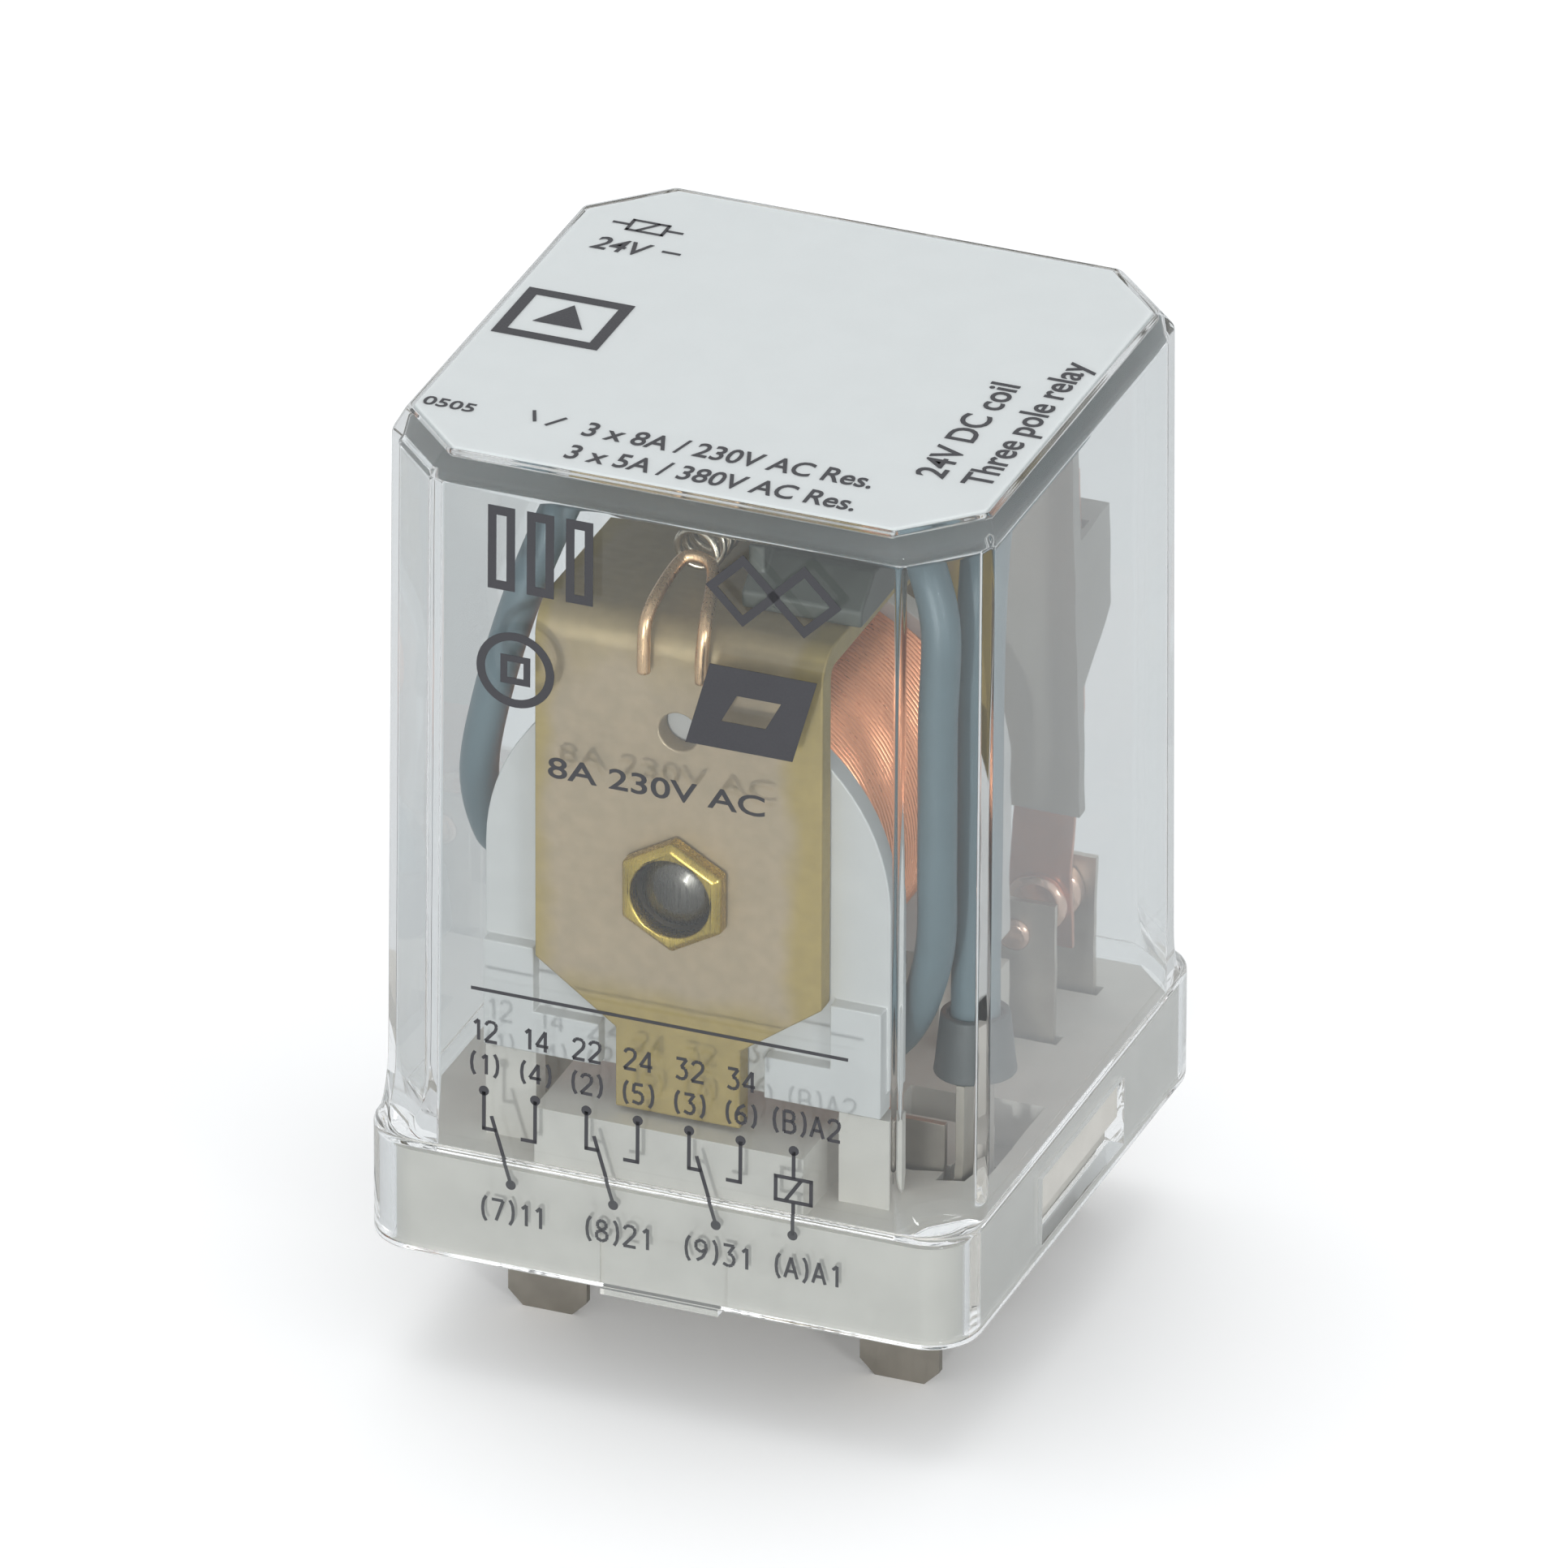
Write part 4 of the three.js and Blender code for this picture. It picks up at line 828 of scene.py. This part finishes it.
# %% Trees for repeating pieces
class Recipe:
    """A Geometry Nodes tree with named sizes."""

    def __init__(self, name, sizes):
        self.tree = bpy.data.node_groups.new(name, "GeometryNodeTree")
        self.keys = {}
        for label, kind in sizes.items():
            made = self.tree.interface.new_socket(name=label, in_out="INPUT", socket_type=f"NodeSocket{kind}")
            self.keys[label] = made.identifier
        self.tree.interface.new_socket(name="Geometry", in_out="OUTPUT", socket_type="NodeSocketGeometry")
        self.inputs = self.tree.nodes.new("NodeGroupInput")
        self.outputs = self.tree.nodes.new("NodeGroupOutput")

    def size(self, label):
        return self.inputs.outputs[label]

    def node(self, kind, settings=None, sockets=None, output=0):
        added = self.tree.nodes.new(kind)
        for name, value in (settings or {}).items():
            setattr(added, name, value)
        for name, value in (sockets or {}).items():
            if isinstance(value, bpy.types.NodeSocket):
                self.tree.links.new(value, added.inputs[name])
            else:
                added.inputs[name].default_value = value
        return added.outputs[output]

    def finish(self, geometry):
        """Realizes what the tree made, and gives it the material that is one of its sizes."""
        real = self.node("GeometryNodeRealizeInstances", None, {"Geometry": geometry})
        smooth = self.node("GeometryNodeSetShadeSmooth", None, {"Geometry": real})
        sockets = {"Geometry": smooth, "Material": self.size("Material")}
        self.tree.links.new(self.node("GeometryNodeSetMaterial", None, sockets), self.outputs.inputs[0])
        return self

    def make(self, name, **values):
        """Runs the tree with these sizes and keeps the result as a plain mesh."""
        mesh = bpy.data.meshes.new(name)
        piece = bpy.data.objects.new(name, mesh)
        bpy.context.collection.objects.link(piece)
        run = piece.modifiers.new("tree", "NODES")
        run.node_group = self.tree
        for label, value in values.items():
            run[self.keys[label.replace("_", " ")]] = value
        return settled(piece)


def helix_recipe():
    """Wire wound into a helix along +Y, from a start point."""
    recipe = Recipe("helix_wire", {
        "Turns": "Float", "Radius": "Float", "Length": "Float", "Wire": "Float", "Steps": "Int",
        "Start": "Vector", "Material": "Material",
    })
    spiral = recipe.node("GeometryNodeCurveSpiral", None, {
        "Resolution": recipe.size("Steps"), "Rotations": recipe.size("Turns"),
        "Start Radius": recipe.size("Radius"), "End Radius": recipe.size("Radius"),
        "Height": recipe.size("Length"),
    })
    section = recipe.node("GeometryNodeCurvePrimitiveCircle", None, {
        "Resolution": 8, "Radius": recipe.size("Wire"),
    })
    drawn = recipe.node("GeometryNodeCurveToMesh", None, {
        "Curve": spiral, "Profile Curve": section, "Fill Caps": True,
    })
    laid = recipe.node("GeometryNodeTransform", None, {
        "Geometry": drawn, "Translation": recipe.size("Start"), "Rotation": (-math.pi / 2, 0, 0),
    })
    return recipe.finish(laid)


helix = helix_recipe()
print("tree:", helix.tree.name)

# %% [markdown]
# ## The winding
#
# The coil is many layers of thin enamelled wire. Only the outermost layer is ever seen, so
# it alone is drawn as real turns, laid side by side. A smooth roll just under them stands
# for the layers below and closes the gaps between the turns.

# %% The winding
winding_low, winding_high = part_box("coil_winding")
WINDING_RADIUS = (winding_high.x - winding_low.x) / 2
WINDING_WIRE = 0.17 * MM
TURN_PITCH = 2.02 * WINDING_WIRE  # a hair more than the wire's diameter
UNDER_TURNS = 0.28
winding_length = winding_high.y - winding_low.y - 2 * WINDING_WIRE
turns = helix.make(
    "winding_turns",
    Turns=winding_length / TURN_PITCH, Radius=WINDING_RADIUS - WINDING_WIRE,
    Length=winding_length, Wire=WINDING_WIRE, Steps=56,
    Start=(0, winding_low.y + WINDING_WIRE, RIM + CORE_Z * MM), Material=WINDING_COPPER,
)
stand_for(turns, FIXED, "winding_copper", "coil_winding")
inner = WINDING_RADIUS / MM - UNDER_TURNS
front_end, rear_end = winding_low.y / MM, winding_high.y / MM
filling = turned(
    "winding_layers", [(0, front_end), (inner, front_end), (inner, rear_end), (0, rear_end)],
    at(0, 0, CORE_Z), BACKWARD, WINDING_COPPER, 56,
)
stand_for(filling, FIXED, "winding_copper")

# %% [markdown]
# ## The return spring
#
# A coil spring lies along the top of the yoke and pulls the armature back when the current
# stops. A wire hanger holds its front end, and its rear hook goes through a hole in the
# armature. The coil is the same tree as the winding with other sizes. The rear hook is a
# wire of its own.

# %% The return spring and its hanger
SPRING_X = -0.8
SPRING_Z = 43.0
SPRING_RADIUS = 1.25
SPRING_WIRE = 0.45
SPRING_TURNS = 13.0
SPRING_LENGTH = 13.2
SPRING_FRONT = -10.7
HANGER_DIAMETER = 0.75
coil = helix.make(
    "spring_coil",
    Turns=SPRING_TURNS, Radius=SPRING_RADIUS * MM, Length=SPRING_LENGTH * MM,
    Wire=SPRING_WIRE / 2 * MM, Steps=24,
    Start=tuple(at(SPRING_X, SPRING_FRONT, SPRING_Z)), Material=SPRING_STEEL,
)
stand_for(coil, FIXED, "spring_steel", "return_spring")

rear_hook = [
    (SPRING_RADIUS, 2.4, 0), (0.8, 3.0, -0.3), (0, 4.2, -0.5), (0, 6.4, -0.4), (0, 8.2, -0.3),
    (0, 9.0, 0.4), (0, 8.6, 1.2),
]
path = flowing([at(SPRING_X + x, y, SPRING_Z + z) for x, y, z in rear_hook], 6)
hook = wire("spring_hook", path, SPRING_WIRE * MM, SPRING_STEEL, 10)
at(0, 2.5, 43)
at(0, 6.5, 43)
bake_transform(hook)

hanger_route = [
    (-1.8, -15.8, 37.9), (-1.8, -15.8, 39.3), (-1.8, -15.3, 41.1), (-1.3, -11.4, 42.8), (-0.8, -11.15, 43),
    (0.4, -11.4, 42.8), (1.6, -15.3, 41.1), (1.6, -15.8, 39.3), (1.6, -15.8, 37.9),
]
path = flowing([at(*p) for p in hanger_route])
hanger = wire("hanger_bent", path, HANGER_DIAMETER * MM, HANGER_WIRE, 12)
stand_for(hanger, FIXED, "spring_steel", "spring_hanger")

# %% [markdown]
# ## Contacts
#
# Every contact is a small rivet: a domed silver face, a shank through the blade and a
# closing head behind it. One turned rivet is repeated along the row of three poles.

# %% Contact rows
def row_recipe():
    """Repeats one object along X."""
    recipe = Recipe("contact_row", {
        "Rivet": "Object", "Count": "Int", "Start": "Vector", "Pitch": "Vector", "Material": "Material",
    })
    line = recipe.node("GeometryNodeMeshLine", {"mode": "OFFSET"}, {
        "Count": recipe.size("Count"), "Start Location": recipe.size("Start"), "Offset": recipe.size("Pitch"),
    })
    rivet = recipe.node("GeometryNodeObjectInfo", None, {"Object": recipe.size("Rivet")}, output="Geometry")
    sockets = {"Points": line, "Instance": rivet}
    return recipe.finish(recipe.node("GeometryNodeInstanceOnPoints", None, sockets))


contact_row = row_recipe()
POLE_PITCH = 10.2
MAKE_BLADE_Y = 7.4
BREAK_BLADE_Y = 13.6
BLADE_HALF = 0.25  # half a blade's thickness
STROKE = math.radians(3.4)


def make_row(name, body, nodes, profile, y, z, facing, tilt=0.0):
    """Three rivets whose faces look along facing."""
    axis = Matrix.Rotation(tilt, 3, "X") @ Vector((0, facing, 0))
    rivet = turned("rivet", profile, Vector(), axis, CONTACT_SILVER, 28, 0.1)
    row = contact_row.make(
        name, Rivet=rivet, Count=3, Start=tuple(at(-POLE_PITCH, y, z)), Pitch=(POLE_PITCH * MM, 0, 0),
        Material=CONTACT_SILVER,
    )
    bpy.data.objects.remove(rivet)
    stand_for(row, body, "contact_silver", *nodes)


no_low, no_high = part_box("no_contact_2")
nc_low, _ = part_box("nc_contact_2")
moving_low, moving_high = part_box("moving_contact_2")
CONTACT_Z = ((no_low.z + no_high.z) / 2 - RIM) / MM
CONTACT_RADIUS = (no_high.z - no_low.z) / 2 / MM
FACE_EDGE = 0.35  # where the domed face meets the rounded edge
HEAD = 1.0
SHANK = 0.55


def rivet_profile(face, back):
    """Radius and distance from the blade's middle, from the closing head to the contact face."""
    return [
        (0, -back - 0.42), (0.75, -back - 0.38), (HEAD, -back - 0.2), (HEAD, -back), (SHANK, -back),
        (SHANK, back), (CONTACT_RADIUS, back), (CONTACT_RADIUS, face - 0.3),
        (CONTACT_RADIUS - FACE_EDGE, face - 0.08), (0, face),
    ]


make_row("no_contacts", FIXED, [f"no_contact_{i}" for i in (1, 2, 3)],
         rivet_profile(no_high.y / MM - MAKE_BLADE_Y, BLADE_HALF), MAKE_BLADE_Y, CONTACT_Z, 1)
make_row("nc_contacts", FIXED, [f"nc_contact_{i}" for i in (1, 2, 3)],
         rivet_profile(BREAK_BLADE_Y - nc_low.y / MM, BLADE_HALF), BREAK_BLADE_Y, CONTACT_Z, -1)
moving_y = (moving_low.y + moving_high.y) / 2 / MM
moving_z = ((moving_low.z + moving_high.z) / 2 - RIM) / MM
face = CONTACT_RADIUS - FACE_EDGE
half = (moving_high.y - moving_low.y) / 2 / MM - face * math.sin(STROKE)
MOVING_BLADE_HALF = 0.2
front_half = [
    (0, -half), (face, -half), (CONTACT_RADIUS, -half + 0.25), (CONTACT_RADIUS, -MOVING_BLADE_HALF),
    (SHANK, -MOVING_BLADE_HALF),
]
rear_half = [(radius, -along) for radius, along in reversed(front_half)]
make_row(
    "moving_contacts", MOVING, [f"moving_contact_{i}" for i in (1, 2, 3)],
    front_half + rear_half, moving_y, moving_z, 1, STROKE,
)

# %% [markdown]
# ## Printing
#
# The cover carries a circuit diagram and the marking plate carries ratings. Ink is a real
# film, so every mark is a thin solid of its own. The marks are drawn flat, and a placing
# function then lays them on the leaning front or on the top. Words are generic, and the
# marks that stand for approvals are plain figures of the same weight.

# %% A flat sheet of marks
INK_FILM = 0.02
LETTER_GRID = 6.0
STROKES = {
    "1": [[(1.0, 4.8), (2.4, 6), (2.4, 0)]],
    "2": [[(0.2, 4.8), (0.9, 5.8), (2.2, 6), (3.4, 5.6), (3.8, 4.6), (3.4, 3.4), (0, 0), (4, 0)]],
    "3": [[(0.3, 6), (3.7, 6), (1.9, 3.6), (3.2, 3.2), (3.8, 1.8), (3.2, 0.4), (1.8, 0), (0.2, 0.6)]],
    "4": [[(3, 0), (3, 6), (0, 1.6), (4, 1.6)]],
    "5": [[(3.7, 6), (0.7, 6), (0.4, 3.4), (2.2, 3.7), (3.6, 2.9), (3.7, 1.2), (2.6, 0), (0.1, 0.5)]],
    "6": [[(3.3, 6), (1.4, 4.9), (0.3, 2.8), (0.5, 0.8), (2, 0), (3.6, 0.8), (3.6, 2.6), (2, 3.5),
           (0.5, 2.6)]],
    "7": [[(0.2, 6), (3.9, 6), (1.6, 0)]],
    "8": [[(2, 3.2), (0.6, 4), (0.7, 5.4), (2, 6), (3.3, 5.4), (3.4, 4), (2, 3.2)],
          [(2, 3.2), (0.3, 2.3), (0.4, 0.7), (2, 0), (3.6, 0.7), (3.7, 2.3), (2, 3.2)]],
    "9": [[(0.7, 0), (2.6, 1.1), (3.7, 3.2), (3.5, 5.2), (2, 6), (0.4, 5.2), (0.4, 3.4), (2, 2.5),
           (3.5, 3.4)]],
    "A": [[(0, 0), (2, 6), (4, 0)], [(0.7, 2), (3.3, 2)]],
    "B": [[(0.4, 0), (0.4, 6), (2.8, 6), (3.6, 5.2), (3.5, 3.9), (2.8, 3.2), (0.4, 3.2)],
          [(2.8, 3.2), (3.8, 2.4), (3.9, 0.9), (2.9, 0), (0.4, 0)]],
    "(": [[(2.0, 6.6), (1.1, 5.2), (0.8, 3), (1.1, 0.8), (2.0, -0.6)]],
    ")": [[(0.6, 6.6), (1.5, 5.2), (1.8, 3), (1.5, 0.8), (0.6, -0.6)]],
}
LETTER_WIDTHS = {"(": 2.2, ")": 2.2, "1": 3.2}
LETTER_SQUEEZE = 0.85
LETTER_GAP = 1.4
CAPITAL = 0.729  # height of the font's capitals, for a size of 1


class Print:
    """Marks drawn in millimetres on a flat sheet, each with the thickness of an ink film."""

    def __init__(self):
        self.sheet = bmesh.new()

    def area(self, outline, hole=None):
        """A filled outline, or the band between an outline and a hole with as many points."""
        layers = [
            [[self.sheet.verts.new((x, y, z)) for x, y in edge] for z in (0, INK_FILM)]
            for edge in ([outline] if hole is None else [outline, hole])
        ]
        for low, high in layers:
            for i in range(len(low)):
                j = (i + 1) % len(low)
                self.sheet.faces.new((low[i], low[j], high[j], high[i]))
        for level in (0, 1):
            if hole is None:
                self.sheet.faces.new(layers[0][level])
            else:
                outer, inner_edge = layers[0][level], layers[1][level]
                for i in range(len(outer)):
                    j = (i + 1) % len(outer)
                    self.sheet.faces.new((outer[i], outer[j], inner_edge[j], inner_edge[i]))

    def line(self, start, end, width=0.22):
        a, b = np.array(start, float), np.array(end, float)
        along = (b - a) / np.linalg.norm(b - a)
        across = np.array([-along[1], along[0]]) * width / 2
        self.area([a - across, b - across, b + across, a + across])

    def circle(self, centre, radius, count=28, start=0.0):
        angles = np.linspace(start, start + 2 * math.pi, count, endpoint=False)
        return [(centre[0] + radius * math.cos(t), centre[1] + radius * math.sin(t)) for t in angles]

    def dot(self, centre, radius=0.3):
        self.area(self.circle(centre, radius))

    def band(self, centre, radius, width, count=40, start=0.0):
        """An open figure with count corners: a ring when there are many, a square when four."""
        outer = self.circle(centre, radius, count, start)
        self.area(outer, self.circle(centre, radius - width / math.cos(math.pi / count), count, start))

    def code(self, words, centre, height, pen=0.19):
        """Terminal numbers in single-stroke technical lettering."""
        up = height / LETTER_GRID
        across = up * LETTER_SQUEEZE
        steps = [LETTER_WIDTHS.get(letter, 4.0) + LETTER_GAP for letter in words]
        left = centre[0] - (sum(steps) - LETTER_GAP) * across / 2
        for letter, step in zip(words, steps):
            for stroke in STROKES[letter]:
                spots = [(left + x * across, centre[1] + (y - LETTER_GRID / 2) * up) for x, y in stroke]
                for start, end in zip(spots, spots[1:]):
                    self.line(start, end, pen)
            left += step * across

    def text(self, words, centre, height, width=None, turn=0.0, slant=0.0):
        """Plain lettering of a height, squeezed to a width if one is given."""
        font = bpy.data.curves.new("lettering", "FONT")
        font.body = words
        font.size = 1.0
        font.resolution_u = 4
        font.extrude = 0.5
        font.offset = 0.012
        holder = bpy.data.objects.new("lettering", font)
        bpy.context.collection.objects.link(holder)
        bpy.context.view_layer.update()
        mesh = bpy.data.meshes.new_from_object(holder.evaluated_get(bpy.context.evaluated_depsgraph_get()))
        bpy.data.objects.remove(holder)
        points = np.array([v.co for v in mesh.vertices], float)
        low, high = points.min(0), points.max(0)
        scale_y = height / CAPITAL
        scale_x = scale_y if width is None else width / (high[0] - low[0])
        flat = np.empty_like(points)
        flat[:, 0] = (points[:, 0] - (low[0] + high[0]) / 2) * scale_x
        flat[:, 1] = (points[:, 1] - CAPITAL / 2) * scale_y
        flat[:, 0] += flat[:, 1] * slant
        cos, sin = math.cos(turn), math.sin(turn)
        placed = np.empty_like(points)
        placed[:, 0] = centre[0] + flat[:, 0] * cos - flat[:, 1] * sin
        placed[:, 1] = centre[1] + flat[:, 0] * sin + flat[:, 1] * cos
        placed[:, 2] = np.where(points[:, 2] > 0, INK_FILM, 0)
        for vertex, point in zip(mesh.vertices, placed):
            vertex.co = point
        self.sheet.from_mesh(mesh)
        bpy.data.meshes.remove(mesh)

    def piece(self, name, place):
        """Lays the sheet on a surface: place turns two flat millimetres and a height into a point."""
        for vertex in self.sheet.verts:
            vertex.co = place(*vertex.co)
        bmesh.ops.remove_doubles(self.sheet, verts=self.sheet.verts, dist=1e-8)
        bmesh.ops.recalc_face_normals(self.sheet, faces=self.sheet.faces)
        mesh = bpy.data.meshes.new(name)
        self.sheet.to_mesh(mesh)
        self.sheet.free()
        mesh.materials.append(INK)
        made = bpy.data.objects.new(name, mesh)
        bpy.context.collection.objects.link(made)
        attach(made, FIXED)
        print(f"{name}: {len(mesh.polygons)} faces")
        return made


# %% [markdown]
# ## The diagram on the front
#
# The diagram tells an electrician which blade is which. Each pole has a common blade below
# and two fixed contacts above, drawn as a switch at rest, and the coil is the box with a
# slanting stroke at the right. The poles are alike, so one loop draws all three.

# %% The front of the cover
CLEAR_OF_WALL = 0.01  # keeps ink and wall from sharing a surface


def on_front(x, z, lift):
    y = HALF_Y - STEP - LEAN_Y * z / SHOULDER
    return at(x, -y - CLEAR_OF_WALL - lift, z)


front = Print()
front.line((-11.3, 17.25), (11.05, 17.25), 0.2)
PITCH = 3.05
FIRST = -10.5
CONTACT_DOTS = 10.95
COMMON_DOTS = 5.4
TOP_ROW = ["12", "14", "22", "24", "32", "34"]
PIN_ROW = ["(1)", "(4)", "(2)", "(5)", "(3)", "(6)"]
for i, (number, pin) in enumerate(zip(TOP_ROW, PIN_ROW)):
    front.code(number, (FIRST + PITCH * i, 14.7), 1.25)
    front.code(pin, (FIRST + PITCH * i, 12.6), 1.2)
front.code("(B)A2", (8.6, 12.7), 1.3)
for pole in range(3):
    closed_x = FIRST + 2 * PITCH * pole
    open_x = closed_x + PITCH
    arm_x = closed_x + 1.65
    front.dot((closed_x, CONTACT_DOTS))
    front.dot((open_x, CONTACT_DOTS))
    front.line((closed_x, 10.9), (closed_x, 8.55))
    front.line((closed_x - 0.1, 8.6), (closed_x + 0.75, 8.6))
    front.line((open_x, 10.9), (open_x, 8.3))
    front.line((open_x + 0.1, 8.35), (open_x - 0.85, 8.35))
    front.line((arm_x, 5.45), (closed_x + 0.45, 9.45))
    front.dot((arm_x, COMMON_DOTS))
COIL_X = FIRST + 6 * PITCH + 0.1
front.dot((COIL_X, CONTACT_DOTS))
front.line((COIL_X, 10.9), (COIL_X, 9.2))
front.line((COIL_X, 7.7), (COIL_X, 5.7))
front.dot((COIL_X, 5.7))
for z in (7.75, 9.2):
    front.line((COIL_X - 1.15, z), (COIL_X + 1.15, z))
for x in (-1.05, 1.05):
    front.line((COIL_X + x, 7.65), (COIL_X + x, 9.3))
front.line((COIL_X - 0.45, 7.8), (COIL_X + 0.45, 9.15))
for x, label in ((-8.8, "(7)11"), (-2.5, "(8)21"), (3.4, "(9)31"), (8.75, "(A)A1")):
    front.code(label, (x, 3.65), 1.3)
front.text("8A 230V AC", (-0.4, 31.9), 1.3, 12.8)
for i in range(3):
    x = -10.4 + 2.3 * i
    front.area([(x, 42.2), (x + 1.6, 42.2), (x + 1.6, 47.3), (x, 47.3)],
               [(x + 0.5, 42.75), (x + 1.1, 42.75), (x + 1.1, 46.75), (x + 0.5, 46.75)])
front.band((-8.75, 37.4), 2.3, 0.5)
front.band((-8.75, 37.4), 1.25, 0.4, 4, math.pi / 4)
for x in (4.6, 8.2):
    front.band((x, 44.9), 2.2, 0.5, 4)
front.area([(1.3, 35.0), (7.6, 35.0), (9.0, 40.1), (2.7, 40.1)],
           [(3.4, 36.7), (6.0, 36.7), (6.9, 38.4), (4.3, 38.4)])
front.piece("front_print", on_front)

# %% [markdown]
# ## The marking plate
#
# The plate on top is what one sees in a cabinet full of relays. It carries the coil's
# symbol and voltage, two lines of ratings, and two lines that run along the right edge.

# %% The marks on the plate
CLEAR_OF_PLATE = 0.005


def on_top(x, y, lift):
    return at(x, y, TOP + CLEAR_OF_PLATE) + UPWARD * (lift * MM)


FINE = 0.2  # pen width of the small symbols
COIL_SYMBOL = [
    ((-13.9, 12.3), (-11.7, 12.3)), ((-13.9, 11.1), (-11.7, 11.1)),
    ((-13.85, 11.0), (-13.85, 12.4)), ((-11.75, 11.0), (-11.75, 12.4)),
    ((-14.9, 11.7), (-13.9, 11.7)), ((-11.7, 11.7), (-10.7, 11.7)), ((-13.3, 11.1), (-12.3, 12.3)),
]
DIRECT_CURRENT = ((-11.0, 9.3), (-9.9, 9.3))
SWITCH_SYMBOL = [((-10.4, -11.0), (-9.9, -12.2)), ((-9.2, -12.4), (-8.4, -11.2))]

top = Print()
for start, end in (*COIL_SYMBOL, DIRECT_CURRENT, *SWITCH_SYMBOL):
    top.line(start, end, FINE)
top.text("24V", (-13.3, 9.1), 1.55, 3.1, slant=0.15)
top.area([(-16.2, -3.1), (-9.9, -3.1), (-9.9, 2.6), (-16.2, 2.6)],
         [(-15.5, -2.4), (-10.6, -2.4), (-10.6, 1.9), (-15.5, 1.9)])
top.area(top.circle((-13.05, -0.25), 1.7, 3, math.pi / 2))
top.text("0505", (-15.0, -12.0), 1.0, 3.0)
top.text("3 x 8A / 230V AC Res.", (1.5, -11.9), 1.65, 17.0)
top.text("3 x 5A / 380V AC Res.", (1.6, -14.7), 1.65, 17.0)
top.text("24V DC coil", (12.4, -4.3), 1.75, 11.8, math.pi / 2)
top.text("Three pole relay", (15.1, -2.4), 1.75, 15.6, math.pi / 2)
top.piece("top_print", on_top)

# %% [markdown]
# ## The studio
#
# The relay stands on a pale floor under a pale sky. The floor is white to the lens and
# greyer to every other ray, so the cover doesn't mirror a glaring sheet. A small lamp in
# front throws the shadows of the printing on the yoke. A large one overhead keeps the shadow
# under the relay, and one at the right brings out the copper.

# %% Floor, sky and lamps
def floor_material():
    finish = Finish("studio_floor")
    clouds = finish.noise(0.004, 2.0)
    seen = finish.node("ShaderNodeLightPath", output="Is Camera Ray")
    paper = finish.mix(clouds, (0.93, 0.93, 0.93, 1), (0.95, 0.95, 0.95, 1))
    return finish.surface(
        Base_Color=finish.mix(seen, (0.62, 0.63, 0.635, 1), paper),
        Roughness=0.9,
        Specular_IOR_Level=0.0,
    )


FLOOR_HALF = 3.0
floor = new_piece(
    "studio_floor", [(x * FLOOR_HALF, y * FLOOR_HALF, 0) for x, y in ((-1, -1), (1, -1), (1, 1), (-1, 1))],
    [(0, 1, 2, 3)], floor_material(), smooth=False,
)
if floor.data.polygons[0].normal.z < 0:
    floor.data.flip_normals()

world = bpy.data.worlds.new("studio_sky")
world.use_nodes = True
world.node_tree.nodes["Background"].inputs["Color"].default_value = (0.97, 0.985, 1.0, 1)
world.node_tree.nodes["Background"].inputs["Strength"].default_value = 0.94
bpy.context.scene.world = world


def lamp(name, place, target, size, watts):
    data = bpy.data.lights.new(name, "AREA")
    data.shape = "RECTANGLE"
    data.size, data.size_y = size
    data.energy = watts
    holder = bpy.data.objects.new(name, data)
    holder.location = place
    holder.rotation_euler = (Vector(place) - target).to_track_quat("Z", "Y").to_euler()
    bpy.context.collection.objects.link(holder)


MIDDLE = at(0, 0, 25)
lamp("front_lamp", (0.104, -1.29, 0.13), MIDDLE, (0.05, 0.05), 7.5)
lamp("side_lamp", (0.8, -0.68, 0.3), MIDDLE, (0.2, 0.2), 2.4)
lamp("top_lamp", (-0.12, 0.1, 1.2), MIDDLE, (0.8, 0.8), 3.6)
bpy.context.scene.view_settings.view_transform = "Standard"
bpy.context.scene.view_settings.look = "None"
print("studio: floor, sky and three lamps")
